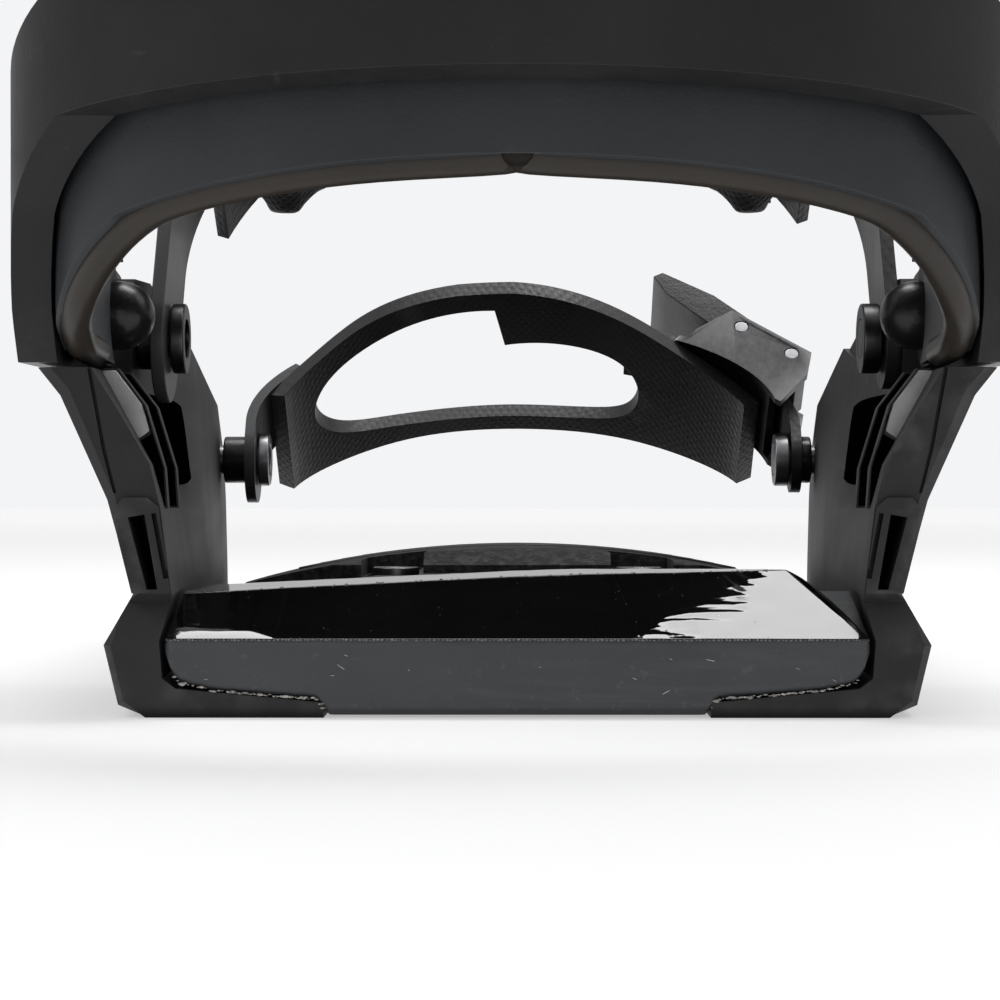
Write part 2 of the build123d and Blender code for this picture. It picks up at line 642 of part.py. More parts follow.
ANKLE_ARCH = (strap_plane(ANKLE_PIVOT_Y, ANKLE_PIVOT_Z, ANKLE_LEAN), ANKLE_R, ANKLE_RISE, ANKLE_LEG)
TOE_ARCH = (strap_plane(TOE_BOLT_Y, TOE_PIVOT_Z, TOE_LEAN), TOE_R, TOE_RISE, TOE_LEG)


def band(arch, offset, thickness, angles, widths):
    """A band along an arch. Angles run from the outer side, widths across it from its middle."""
    plane, half_width, rise, leg = arch
    turn = angles[1] - angles[0]
    outer = EllipticalCenterArc((0, leg), half_width + offset, rise + offset, start_angle=angles[0],
                                arc_size=turn)
    inner = EllipticalCenterArc((0, leg), half_width + offset - thickness, rise + offset - thickness,
                                start_angle=angles[0], arc_size=turn)
    face = make_face([outer, inner, Line(outer @ 0, inner @ 0), Line(outer @ 1, inner @ 1)])
    middle = (widths[0] + widths[1]) / 2
    placed = Plane(origin=plane.origin + plane.z_dir * middle, x_dir=plane.x_dir, z_dir=plane.z_dir)
    return extrude(placed * face, amount=(widths[1] - widths[0]) / 2, both=True)


def middle_band(arch, offset, thickness, angles, width):
    """A band that is centred across the arch."""
    return band(arch, offset, thickness, angles, (-width / 2, width / 2))


def strap_leg(arch, x_in, x_out, width):
    """The straight leg of a strap, round at its pivot."""
    plane, _, _, leg = arch
    upright = plane * Pos((x_in + x_out) / 2, leg / 2, 0) * Box(x_out - x_in, leg, width)
    return upright + rod_x(width / 2, x_in, x_out, plane.origin.Y, plane.origin.Z)


def pivot_hole(arch):
    """The running bore for a strap's pivot bolt."""
    plane = arch[0]
    return rod_x(BOLT_R + PIN_GAP, -62.0, 62.0, plane.origin.Y, plane.origin.Z)


def on_arch(arch, offset, angle):
    """A frame on an arch: x runs up the strap, y across it, z out of it."""
    plane, half_width, rise, leg = arch
    a = math.radians(angle)
    x = (half_width + offset) * math.cos(a)
    y = leg + (rise + offset) * math.sin(a)
    tilt = math.atan2((rise + offset) * math.cos(a), -(half_width + offset) * math.sin(a))
    along = plane.x_dir * math.cos(tilt) + plane.y_dir * math.sin(tilt)
    out = plane.x_dir * math.sin(tilt) - plane.y_dir * math.cos(tilt)
    return Plane(origin=plane.origin + plane.x_dir * x + plane.y_dir * y, x_dir=along, z_dir=out)


def connector(arch, angles, width):
    """The inner-side connector: a leg at the pivot and a band that overlaps the strap."""
    half_width = arch[1]
    arm = middle_band(arch, 0.0, STRAP_T, angles, width)
    arm += strap_leg(arch, -half_width, STRAP_T - half_width, width)
    return arm - pivot_hole(arch)


def connector_screws(arch, angles):
    """Low screw heads that join a connector to its strap."""
    screws = None
    for angle in angles:
        screw = on_arch(arch, 0.0, angle) * Pos(0, 0, 0.95) * Cylinder(3.4, 1.5)
        screws = screw if screws is None else screws + screw
    return screws


def ladder(arch, end_angle, tooth_angles, width):
    """A toothed ladder from the outer pivot through the buckle."""
    half_width = arch[1]
    strip = middle_band(arch, LADDER_OUT, STRAP_T, (0.0, end_angle), width)
    strip += strap_leg(arch, half_width + LADDER_OUT - STRAP_T, half_width + LADDER_OUT, width)
    for angle in tooth_angles:
        strip += on_arch(arch, LADDER_OUT, angle) * Box(0.9, width - 5.0, 1.0)
    return strip - pivot_hole(arch)


# A buckle, in its own frame on the strap's face: x up the strap, y across, z out.


def rod_y(radius, half_length, x, z, y=0.0):
    """A cylinder across a buckle."""
    return Pos(x, y, z) * Rot(90, 0, 0) * Cylinder(radius, 2 * half_length)


def across_buckle(points, half_width):
    """A buckle outline extruded to both sides of the middle."""
    return extrude(Plane.XZ.offset(-half_width) * outline(points), amount=2 * half_width)


def buckle_frame(arch, angle, spread, half_width):
    """The channel that the ladder runs through: a curved plate and two cheeks."""
    at = on_arch(arch, -STRAP_T, angle)
    angles = (angle - spread, angle + spread)
    frame = middle_band(arch, PLATE_T - STRAP_T, PLATE_T, angles, 2 * half_width)
    side = [(-13.0, -3.0), (11.0, -3.0), (11.0, 3.0), (8.0, 11.4), (-11.0, 11.4), (-13.5, 6.0)]
    cheeks = across_buckle(side, half_width)
    cheeks -= across_buckle([(-30.0, -9.0), (30.0, -9.0), (30.0, 30.0), (-30.0, 30.0)], half_width - CHEEK_T)
    inside = middle_band(arch, -STRAP_T, 12.0, (angle - 40.0, angle + 40.0), 3 * half_width)
    frame += (at * cheeks) - inside
    for x, z in (LEVER_PIN, PAWL_PIN):
        frame -= at * rod_y(PIN_R, half_width + 5.0, x, z)
    return frame


def buckle_pins(arch, angle, half_width):
    """The lever's pin and the pawl's pin."""
    at = on_arch(arch, -STRAP_T, angle)
    return at * (rod_y(PIN_R, half_width, *LEVER_PIN) + rod_y(PIN_R, half_width, *PAWL_PIN))


def buckle_lever(arch, angle, half_width, reach):
    """The ratchet lever: it opens away from the strap."""
    inner = half_width - CHEEK_T - RUN_GAP
    pin_x, pin_z = LEVER_PIN
    shape = [
        (pin_x - 2.6, 6.6), (pin_x + 3.0, 6.6), (reach - 5.0, 8.6), (reach, 11.0), (reach - 1.0, 13.0),
        (14.0, 14.0), (pin_x - 1.5, 12.6), (pin_x - 3.0, 9.8),
    ]
    lever = across_buckle(shape, inner)
    lever -= block((13.0, -inner + 3.0, 12.2), (reach - 5.0, inner - 3.0, 15.0))
    lever -= rod_y(PIN_R + PIN_GAP, 40.0, pin_x, pin_z)
    return on_arch(arch, -STRAP_T, angle) * lever


def buckle_pawl(arch, angle, half_width):
    """The pawl that locks the ladder."""
    inner = half_width - CHEEK_T - 2.9
    pin_x, pin_z = PAWL_PIN
    shape = [
        (pin_x - 3.0, 10.2), (pin_x + 2.0, 11.6), (pin_x + 7.2, 9.6), (pin_x + 7.4, 6.4), (pin_x + 4.6, 6.0),
        (pin_x, 6.3), (pin_x - 2.6, 7.2),
    ]
    pawl = across_buckle(shape, inner) - rod_y(PIN_R + PIN_GAP, 40.0, pin_x, pin_z)
    return on_arch(arch, -STRAP_T, angle) * pawl


def buckle_springs(arch, angle, half_width):
    """Two coil springs on the pawl's pin, one beside each cheek."""
    springs = None
    for side in (-1, 1):
        y = side * (half_width - CHEEK_T - 1.5)
        ring = rod_y(2.4, 1.0, *PAWL_PIN, y) - rod_y(PIN_R + PIN_GAP, 3.0, *PAWL_PIN, y)
        springs = ring if springs is None else springs + ring
    return on_arch(arch, -STRAP_T, angle) * springs


def save_buckle(name, arch, angle, spread, half_width, reach):
    """Write the five parts of one ratchet buckle."""
    save(name + "_buckle", buckle_frame(arch, angle, spread, half_width))
    save(name + "_pins", buckle_pins(arch, angle, half_width))
    save(name + "_lever", buckle_lever(arch, angle, half_width, reach))
    save(name + "_pawl", buckle_pawl(arch, angle, half_width))
    save(name + "_springs", buckle_springs(arch, angle, half_width))


# ---- ankle strap -----------------------------------------------------------------------
def ankle_pad():
    """The foam pad under the ankle strap."""
    return middle_band(ANKLE_ARCH, -2 * STRAP_T, 8.0, (30.0, 150.0), 46.0)


def ankle_shell():
    """The moulded outer skin of the ankle strap."""
    skin = middle_band(ANKLE_ARCH, -STRAP_T, STRAP_T - 0.02, (24.0, 160.0), 38.0)
    for y in (-9.0, 9.0):
        slot = Pos(0, 80.0, 0) * Box(44.0, 60.0, 4.0)
        skin -= ANKLE_ARCH[0] * Pos(-4.0, 0, y) * slot
    return skin


# ---- toe strap -----------------------------------------------------------------------
def over_strap(arch, edges):
    """A column through a strap, drawn as seen from above it: X across, Y up to its rear edge."""
    plane = arch[0]
    above = Plane(origin=plane.origin, x_dir=plane.x_dir, z_dir=-plane.y_dir)
    return extrude(above * make_face(edges), amount=-80.0)


def toe_cap():
    """The toe cap strap: a broad band that narrows to its ends, with a long stepped window."""
    cap = middle_band(TOE_ARCH, -STRAP_T, CAP_T, (20.0, 163.0), TOE_WIDTH)
    rear = Spline((-56.0, 8.0), (-44.0, 9.5), (-31.0, 17.3), (-14.0, 21.8), (4.0, 21.4), (20.0, 16.3),
                  (34.0, 8.8), (56.0, 3.5))
    front = Spline((56.0, -17.0), (44.0, -21.0), (24.0, -20.6), (0.0, -20.2), (-24.0, -20.6), (-44.0, -21.5),
                   (-56.0, -18.0))
    cap = cap & over_strap(TOE_ARCH, [rear, Line(rear @ 1, front @ 0), front, Line(front @ 1, rear @ 0)])
    rim = Spline((-4.5, 17.0), (-16.0, 16.3), (-31.0, 10.5), (-39.5, 2.5), (-40.8, -5.0), (-36.5, -12.2),
                 (-27.0, -15.2), (0.0, -15.9), (15.0, -15.4), (22.5, -12.6), (24.8, -5.5), (21.8, 2.2),
                 (14.0, 6.3), (-2.5, 6.5))
    return cap - over_strap(TOE_ARCH, [rim, Line(rim @ 1, rim @ 0)])


def toe_pivots():
    """The bolts that carry the toe strap's ends on the rails."""
    bolt = through_bolt(64.1, TOE_R - 2.6, TOE_BOLT_Y, TOE_PIVOT_Z)
    return both_sides(bolt)


def flat_nut(x_in, x_out, y, z, radius=5.2):
    """A low round nut on a bolt's end."""
    return rod_x(radius, x_in, x_out, y, z) - rod_x(BOLT_R, x_in - 1.0, x_out + 1.0, y, z)


def strap_nuts(half_width, y, z):
    """Low nuts inside the connector on the inner side and inside the ladder on the outer side."""
    left = mirrored(flat_nut(half_width - 4.4, half_width - STRAP_T - 0.3, y, z))
    right = flat_nut(half_width - 2.6, half_width + LADDER_OUT - STRAP_T - 0.3, y, z)
    return left + right


def ankle_spacers():
    """Spacers between the ears and the ankle strap's ends."""
    left = mirrored(flat_nut(ANKLE_R + 0.1, EAR_IN_X, ANKLE_PIVOT_Y, ANKLE_PIVOT_Z, 4.6))
    return left


def toe_spacers():
    """Spacers between the rails and the toe strap's ends."""
    left = mirrored(flat_nut(TOE_R + 0.1, 58.0, TOE_BOLT_Y, TOE_PIVOT_Z, 4.6))
    right = flat_nut(TOE_R + LADDER_OUT + 0.1, 58.0, TOE_BOLT_Y, TOE_PIVOT_Z, 4.6)
    return left + right


def main():
    """Build and write every sub-part."""
    os.makedirs("parts", exist_ok=True)
    save("baseplate", baseplate())
    save("mounting_disc", mounting_disc())
    save("heel_pad", heel_pad())
    save("heel_pad_cap", heel_pad_cap())
    save("footbed_pad", footbed_pad())
    save("underside_cushions", underside_cushions())
    save("toe_ramp", toe_ramp())
    save("ramp_pad", ramp_pad())
    save("ramp_screws", ramp_screws())
    save("heel_hoop", heel_hoop())
    save("hoop_bolts", hoop_bolts())
    save("hoop_nuts", hoop_nuts())
    save("highback_pivots", highback_pivots())
    save("highback_nuts", highback_nuts())
    save("highback_shell", highback_shell())
    save("highback_upper_pad", inner_pad(150.0, 222.0, 33.0, 5.0))
    save("highback_lower_pad", inner_pad(84.0, 132.0, 40.0, 6.0))
    save("lean_block", lean_block())
    save("lean_pin", lean_pin())
    save("lean_lever", lean_lever())
    save("ankle_pivots", ankle_pivots())
    save("ankle_nuts", strap_nuts(ANKLE_R, ANKLE_PIVOT_Y, ANKLE_PIVOT_Z))
    save("ankle_spacers", ankle_spacers())
    save("ankle_pad", ankle_pad())
    save("ankle_shell", ankle_shell())
    save("ankle_connector", connector(ANKLE_ARCH, (146.0, 180.0), 19.0))
    save("ankle_screws", connector_screws(ANKLE_ARCH, (149.5, 156.5)))
    save("ankle_ladder", ladder(ANKLE_ARCH, 72.0, range(48, 71, 2), 15.0))
    save_buckle("ankle", ANKLE_ARCH, 40.0, 15.0, 12.0, 32.0)
    save("toe_pivots", toe_pivots())
    save("toe_nuts", strap_nuts(TOE_R, TOE_BOLT_Y, TOE_PIVOT_Z))
    save("toe_spacers", toe_spacers())
    save("toe_cap", toe_cap())
    save("toe_connector", connector(TOE_ARCH, (146.0, 180.0), 17.0))
    save("toe_screws", connector_screws(TOE_ARCH, (150.0,)))
    save("toe_ladder", ladder(TOE_ARCH, 66.0, range(52, 65, 3), 13.0))
    save_buckle("toe", TOE_ARCH, 33.0, 19.0, 10.5, 27.0)


main()
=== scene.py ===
import json
import math
import random

import bmesh
import bpy
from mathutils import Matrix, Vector, noise


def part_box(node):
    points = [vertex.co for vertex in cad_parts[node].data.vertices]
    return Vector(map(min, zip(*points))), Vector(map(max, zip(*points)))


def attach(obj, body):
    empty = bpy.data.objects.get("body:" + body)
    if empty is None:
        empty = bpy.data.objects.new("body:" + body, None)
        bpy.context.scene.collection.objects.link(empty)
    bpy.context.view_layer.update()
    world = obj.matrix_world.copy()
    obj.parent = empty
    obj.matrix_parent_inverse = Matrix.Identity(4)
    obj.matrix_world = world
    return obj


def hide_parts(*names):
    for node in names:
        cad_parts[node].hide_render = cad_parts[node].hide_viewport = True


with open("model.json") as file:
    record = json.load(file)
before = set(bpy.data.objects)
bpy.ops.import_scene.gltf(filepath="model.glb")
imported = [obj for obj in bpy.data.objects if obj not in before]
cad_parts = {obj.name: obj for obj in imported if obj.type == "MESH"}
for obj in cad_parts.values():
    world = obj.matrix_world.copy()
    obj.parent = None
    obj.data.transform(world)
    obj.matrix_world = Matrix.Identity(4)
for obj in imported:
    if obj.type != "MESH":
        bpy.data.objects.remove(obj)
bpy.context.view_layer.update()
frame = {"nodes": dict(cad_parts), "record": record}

MM = 0.001
nodes = frame["nodes"]

SCUFF = (0.07, 0.07, 0.072)            # worn nylon and urethane
WEAVE_PITCH = 0.0011                   # metres from thread to thread
WELD_REACH = 0.000002                  # metres between points that are one


# ---- node helpers ------------------------------------------------------------
class Shader:
    """A material's node tree, with short calls for the nodes that are used here."""

    def __init__(self, name):
        self.material = bpy.data.materials.new(name)
        self.material.use_nodes = True
        self.tree = self.material.node_tree
        self.tree.nodes.clear()
        self.output = self.tree.nodes.new("ShaderNodeOutputMaterial")
        self.bsdf = self.tree.nodes.new("ShaderNodeBsdfPrincipled")
        self.link(self.bsdf.outputs[0], self.output.inputs[0])
        self.coords = self.tree.nodes.new("ShaderNodeTexCoord").outputs["Object"]

    def link(self, source, target):
        self.tree.links.new(source, target)

    def set(self, **values):
        """Uniform values on the shader's own sockets; underscores stand for spaces."""
        for name, value in values.items():
            self.bsdf.inputs[name.replace("_", " ")].default_value = value
        return self

    def node(self, kind, inputs=None, **settings):
        made = self.tree.nodes.new(kind)
        for name, value in settings.items():
            setattr(made, name, value)
        for name, value in (inputs or {}).items():
            if isinstance(value, bpy.types.NodeSocket):
                self.link(value, made.inputs[name])
            else:
                made.inputs[name].default_value = value
        return made

    def mapped(self, scale=(1, 1, 1), turn=(0, 0, 0)):
        inputs = {"Vector": self.coords, "Scale": scale, "Rotation": turn}
        return self.node("ShaderNodeMapping", inputs).outputs[0]

    def noise(self, scale, detail=4.0, roughness=0.55, vector=None, distortion=0.0):
        inputs = {"Scale": scale, "Detail": detail, "Roughness": roughness,
                  "Distortion": distortion, "Vector": vector or self.coords}
        return self.node("ShaderNodeTexNoise", inputs).outputs["Fac"]

    def voronoi(self, scale):
        inputs = {"Scale": scale, "Vector": self.coords}
        return self.node("ShaderNodeTexVoronoi", inputs).outputs["Distance"]

    def wave(self, scale, vector, distortion=0.0, direction="X"):
        inputs = {"Scale": scale, "Distortion": distortion, "Detail": 2.0, "Vector": vector}
        return self.node("ShaderNodeTexWave", inputs, bands_direction=direction).outputs["Fac"]

    def remap(self, value, low, high, to_low, to_high):
        inputs = {"Value": value, "From Min": low, "From Max": high,
                  "To Min": to_low, "To Max": to_high}
        return self.node("ShaderNodeMapRange", inputs).outputs[0]

    def math(self, operation, a, b=0.0):
        made = self.node("ShaderNodeMath", operation=operation)
        for socket, value in zip(made.inputs, (a, b)):
            if isinstance(value, bpy.types.NodeSocket):
                self.link(value, socket)
            else:
                socket.default_value = value
        return made.outputs[0]

    def mix(self, factor, a, b):
        made = self.tree.nodes.new("ShaderNodeMix")
        made.data_type = "RGBA"
        for index, value in ((0, factor), (6, a), (7, b)):
            if isinstance(value, bpy.types.NodeSocket):
                self.link(value, made.inputs[index])
            elif index == 0:
                made.inputs[0].default_value = value
            else:
                made.inputs[index].default_value = (*value, 1)
        return made.outputs[2]

    def bump(self, height, distance, strength=1.0, normal=None):
        inputs = {"Height": height, "Distance": distance, "Strength": strength}
        if normal is not None:
            inputs["Normal"] = normal
        return self.node("ShaderNodeBump", inputs).outputs[0]

    def edges(self, low, high):
        """0 on faces, 1 on convex edges."""
        geometry = self.node("ShaderNodeNewGeometry")
        return self.remap(geometry.outputs["Pointiness"], low, high, 0.0, 1.0)

    def painted_floor_shade(self, tone):
        """Painted shade: darker in the lowest 1.5 mm, standing in for the contact shadow by the
        floor.
        """
        height = self.node("ShaderNodeSeparateXYZ", {0: self.coords}).outputs["Z"]
        near = self.remap(height, 0.0003, 0.0015, 0.9, 0.0)
        return self.mix(near, tone, (0.002, 0.002, 0.002))

    def colour(self, socket):
        self.link(socket, self.bsdf.inputs["Base Color"])

    def roughness(self, socket):
        self.link(socket, self.bsdf.inputs["Roughness"])

    def normal(self, socket):
        self.link(socket, self.bsdf.inputs["Normal"])


def moulded_nylon(name, dark, light, rough, shine=0.4):
    """Glass-filled nylon: fine spark-eroded grain, faint flow marks, scuffs, paler edges and
    painted contact shade in the lowest 1.5 mm.
    """
    grain = 0.00006
    s = Shader(name)
    cloud = s.noise(38.0, 5.0, 0.6)
    fine = s.noise(1900.0, 2.0, 0.5)
    flow = s.noise(9.0, 3.0, 0.5, s.mapped((1.0, 0.25, 3.0)), 1.2)
    tone = s.mix(s.remap(cloud, 0.3, 0.7, 0.0, 1.0), dark, light)
    scuff = s.noise(160.0, 6.0, 0.72, s.mapped((1.0, 0.16, 1.6), (0.2, 0.1, 0.5)))
    tone = s.mix(s.remap(scuff, 0.66, 0.80, 0.0, 0.5), tone, SCUFF)
    rubbed = s.remap(s.noise(210.0, 4.0), 0.42, 0.6, 0.0, 0.7)
    worn = s.math("MULTIPLY", s.edges(0.53, 0.66), rubbed)
    # painted shade: darker in the lowest 1.5 mm, standing in for the contact shadow by the floor
    s.colour(s.painted_floor_shade(s.mix(worn, tone, SCUFF)))
    sheen = s.math("ADD", flow, s.math("MULTIPLY", cloud, 0.6))
    s.roughness(s.remap(sheen, 0.55, 1.05, *rough))
    pits = s.bump(fine, grain, 0.55)
    s.normal(s.bump(s.noise(420.0, 3.0), grain * 1.6, 0.35, pits))
    s.set(IOR=1.5, Specular_IOR_Level=shine)
    return s.material


def rubber(name, dark, light, rough=(0.5, 0.68), shine=0.4, smudge=0.0):
    """Moulded rubber: dusty, softly mottled, with a fine matt grain; with a smudge, also painted
    contact shade in the lowest 1.5 mm.
    """
    s = Shader(name)
    cloud = s.noise(60.0, 5.0, 0.62)
    dust = s.remap(s.noise(700.0, 3.0, 0.7), 0.62, 0.78, 0.0, 0.5)
    tone = s.mix(s.remap(cloud, 0.3, 0.7, 0.0, 1.0), dark, light)
    tone = s.mix(dust, tone, tuple(min(1.0, v * 1.9 + 0.02) for v in light))
    if smudge:
        wiped = s.noise(170.0, 5.0, 0.7, s.mapped((0.10, 1.0, 1.0), (0.0, 0.07, 0.0)), 0.6)
        wiped = s.remap(wiped, 0.52, 0.74, 0.0, smudge)
        tone = s.mix(wiped, tone, tuple(v * 1.7 for v in light))
        rubbed = s.noise(90.0, 4.0, 0.6, s.mapped((0.16, 1.0, 1.0), (0.0, -0.10, 0.0)))
        rubbed = s.remap(rubbed, 0.55, 0.75, 0.0, smudge)
        tone = s.mix(rubbed, tone, tuple(v * 0.55 for v in dark))
        # painted shade: darker in the lowest 1.5 mm, standing in for the contact shadow by the
        # floor
        tone = s.painted_floor_shade(tone)
    s.colour(tone)
    s.roughness(s.remap(cloud, 0.3, 0.7, *rough))
    s.normal(s.bump(s.noise(1400.0, 3.0, 0.6), 0.00008, 0.6))
    s.set(Specular_IOR_Level=shine)
    return s.material


def foam(name, dark, light):
    """Closed-cell foam: speckled and pitted."""
    s = Shader(name)
    cells = s.voronoi(900.0)
    speck = s.remap(s.noise(520.0, 3.0, 0.7), 0.45, 0.62, 0.0, 1.0)
    s.colour(s.mix(speck, dark, light))
    s.roughness(s.remap(s.noise(80.0), 0.3, 0.7, 0.72, 0.9))
    s.normal(s.bump(cells, 0.00022, 0.6))
    s.set(Specular_IOR_Level=0.3)
    return s.material


def gloss_skin(name):
    """Piano-black film: hairline scratches, brushed swirls and specks of dust."""
    s = Shader(name)
    across = s.noise(900.0, 6.0, 0.75, s.mapped((0.05, 1.0, 1.0), (0.0, 0.0, 0.12)))
    slanted = s.noise(1500.0, 5.0, 0.75, s.mapped((0.04, 1.0, 1.0), (0.1, 0.2, -0.42)))
    across = s.remap(across, 0.66, 0.74, 0.0, 1.0)
    hair = s.math("MAXIMUM", across, s.remap(slanted, 0.70, 0.78, 0.0, 1.0))
    specks = s.remap(s.voronoi(520.0), 0.0, 0.055, 1.0, 0.0)
    chosen = s.remap(s.noise(150.0, 2.0), 0.60, 0.64, 0.0, 1.0)
    dust = s.math("MULTIPLY", specks, chosen)
    tone = s.mix(dust, (0.0035, 0.0035, 0.0036), (0.55, 0.53, 0.50))
    s.colour(s.mix(s.math("MULTIPLY", hair, 0.05), tone, (0.16, 0.16, 0.16)))
    smear = s.noise(36.0, 5.0, 0.65, s.mapped((0.35, 1.0, 1.0)))
    smear = s.remap(smear, 0.4, 0.75, 0.03, 0.10)
    s.roughness(s.math("ADD", smear, s.math("MULTIPLY", dust, 0.5)))
    wave = s.noise(30.0, 3.0, 0.5, s.mapped((0.5, 1.0, 1.0)))
    s.normal(s.bump(hair, 0.000006, 0.5, s.bump(wave, 0.00010, 0.5)))
    s.set(IOR=1.5, Specular_IOR_Level=0.62)
    return s.material


def strap_rubber(name, dark, light):
    """Tough urethane: satin, with a fine diamond texture."""
    s = Shader(name)
    slanted = s.mapped(turn=(0, 0, math.radians(45)))
    u, v = (s.wave(260.0, slanted, direction=axis) for axis in ("X", "Y"))
    diamond = s.math("MULTIPLY", u, v)
    cloud = s.noise(50.0, 4.0, 0.6)
    tone = s.mix(s.remap(cloud, 0.3, 0.7, 0.0, 1.0), dark, light)
    worn = s.math("MULTIPLY", s.edges(0.53, 0.64), 0.45)
    s.colour(s.mix(worn, tone, SCUFF))
    s.roughness(s.remap(cloud, 0.3, 0.7, 0.34, 0.5))
    s.normal(s.bump(diamond, 0.00008, 0.4, s.bump(s.noise(1300.0, 2.0), 0.00004, 0.4)))
    return s.material


def woven(name, dark, light):
    """Heavy woven nylon over foam."""
    s = Shader(name)
    threads = 2 * math.pi / WEAVE_PITCH / 20.0
    slanted = s.mapped(turn=(0.3, 0.0, 0.6))
    warp, weft = (s.wave(threads, slanted, 0.25, axis) for axis in ("X", "Y"))
    checks = s.math("MAXIMUM", warp, weft)
    fuzz = s.noise(900.0, 4.0, 0.7)
    tone = s.mix(s.remap(checks, 0.3, 1.0, 0.0, 1.0), dark, light)
    s.colour(s.mix(s.remap(fuzz, 0.5, 0.75, 0.0, 0.4), tone, tuple(v * 2.2 for v in light)))
    s.roughness(s.remap(fuzz, 0.3, 0.7, 0.75, 0.95))
    s.normal(s.bump(checks, 0.00016, 0.7, s.bump(fuzz, 0.00006, 0.5)))
    s.set(Sheen_Weight=0.35, Sheen_Roughness=0.45, Specular_IOR_Level=0.25)
    return s.material


def metal(name, colour, rough):
    """Turned or painted metal with fine tool marks and rubbed edges."""
    s = Shader(name)
    marks = s.noise(700.0, 4.0, 0.7, s.mapped((1.0, 1.0, 0.08)))
    cloud = s.noise(120.0, 4.0, 0.6)
    pale = tuple(min(1.0, v * 1.25 + 0.02) for v in colour)
    tone = s.mix(s.remap(marks, 0.35, 0.65, 0.0, 1.0), colour, pale)
    worn = s.math("MULTIPLY", s.edges(0.53, 0.66), 0.8)
    s.colour(s.mix(worn, tone, (0.55, 0.55, 0.56)))
    s.roughness(s.remap(cloud, 0.3, 0.7, *rough))
    s.normal(s.bump(marks, 0.00003, 0.4))
    s.set(Metallic=1.0)
    return s.material


MATERIALS = {
    "base_nylon": moulded_nylon("base_nylon", (0.023, 0.023, 0.0235), (0.034, 0.034, 0.034),
                                (0.46, 0.62), 0.17),
    "hoop_nylon": moulded_nylon("hoop_nylon", (0.011, 0.011, 0.0115), (0.017, 0.017, 0.0175),
                                (0.34, 0.48), 0.24),
    "shell_nylon": moulded_nylon("shell_nylon", (0.024, 0.026, 0.029), (0.034, 0.037, 0.041),
                                 (0.34, 0.48), 0.3),
    "disc_nylon": moulded_nylon("disc_nylon", (0.016, 0.016, 0.017), (0.028, 0.028, 0.03),
                                (0.42, 0.6)),
    "lever_nylon": moulded_nylon("lever_nylon", (0.010, 0.010, 0.011), (0.017, 0.017, 0.018),
                                 (0.24, 0.38)),
    "pad_rubber": rubber("pad_rubber", (0.044, 0.046, 0.049), (0.059, 0.062, 0.066), smudge=0.6),
    "gloss_skin": gloss_skin("gloss_skin"),
    "foam": foam("foam", (0.020, 0.020, 0.0215), (0.055, 0.055, 0.057)),
    "strap_polymer": strap_rubber("strap_polymer", (0.009, 0.009, 0.010), (0.015, 0.015, 0.016)),
    "strap_pad": woven("strap_pad", (0.009, 0.009, 0.010), (0.027, 0.027, 0.029)),
    "buckle_metal": metal("buckle_metal", (0.007, 0.007, 0.0075), (0.38, 0.54)),
    "screw_steel": metal("screw_steel", (0.22, 0.22, 0.23), (0.28, 0.42)),
}
MADE = {m["slot"]: MATERIALS[m["slot"]] for m in frame["record"]["materials"]}
EDGE_WIDTHS = {"baseplate": 0.45, "heel_hoop": 0.7, "highback_shell": 0.7}     # mm
EDGE_WIDTH = 0.35                      # mm, every other node


def coat(mesh, material):
    """Give a mesh one material and smooth shading."""
    mesh.materials.clear()
    mesh.materials.append(material)
    shade_smooth(mesh)


def shade_smooth(mesh):
    """Smooth shading on every face."""
    for polygon in mesh.polygons:
        polygon.use_smooth = True


def soften(obj, flatness, width, segments, sharp):
    """Round an object's edges by modifiers alone; angles in degrees, width in millimetres."""
    weld = obj.modifiers.new("weld", "WELD")
    weld.merge_threshold = WELD_REACH
    flat = obj.modifiers.new("flat", "DECIMATE")
    flat.decimate_type = "DISSOLVE"
    flat.angle_limit = math.radians(flatness)
    bevel = obj.modifiers.new("bevel", "BEVEL")
    bevel.width = width * MM
    bevel.segments = segments
    bevel.limit_method = "ANGLE"
    bevel.angle_limit = math.radians(sharp)
    smooth = obj.modifiers.new("smooth", "WEIGHTED_NORMAL")
    smooth.keep_sharp = False


for part in frame["record"]["subparts"]:
    coat(nodes[part["node"]].data, MADE[part["material_slot"]])
    soften(nodes[part["node"]], 0.6, EDGE_WIDTHS.get(part["node"], EDGE_WIDTH), 2, 28)
# The ankle strap's hardware and the hoop's nuts are blackened; the connectors are smoke grey.
blackened = metal("blackened_steel", (0.020, 0.020, 0.021), (0.3, 0.44))
smoke = moulded_nylon("smoke_polymer", (0.060, 0.061, 0.063), (0.085, 0.086, 0.089),
                      (0.34, 0.46), 0.3)
for name in ("ankle_pivots", "ankle_nuts", "ankle_spacers", "hoop_nuts"):
    coat(nodes[name].data, blackened)
for name in ("ankle_connector", "toe_connector"):
    coat(nodes[name].data, smoke)


# ---- building pieces -----------------------------------------------------------
def piece(name, mesh, body, slot, replaces=(), material=None):
    """A new object that rides on a body, has a slot's finish, and may stand for CAD nodes."""
    made = bpy.data.objects.new(name, mesh)
    bpy.context.scene.collection.objects.link(made)
    coat(mesh, material or MADE[slot])
    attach(made, body)
    if replaces:
        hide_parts(*replaces)
    return made


def mesh_of(name, points, faces):
    """A mesh from millimetre points."""
    mesh = bpy.data.meshes.new(name)
    mesh.from_pydata([tuple(v * MM for v in p) for p in points], [], faces)
    mesh.validate()
    return mesh


def sheet_of(name, columns, rows, place):
    """An open grid; place(i, j) gives each point."""
    row = columns + 1
    points = [place(i, j) for j in range(rows + 1) for i in range(row)]
    faces = [(j * row + i, j * row + i + 1, (j + 1) * row + i + 1, (j + 1) * row + i)
             for j in range(rows) for i in range(columns)]
    return mesh_of(name, points, faces)


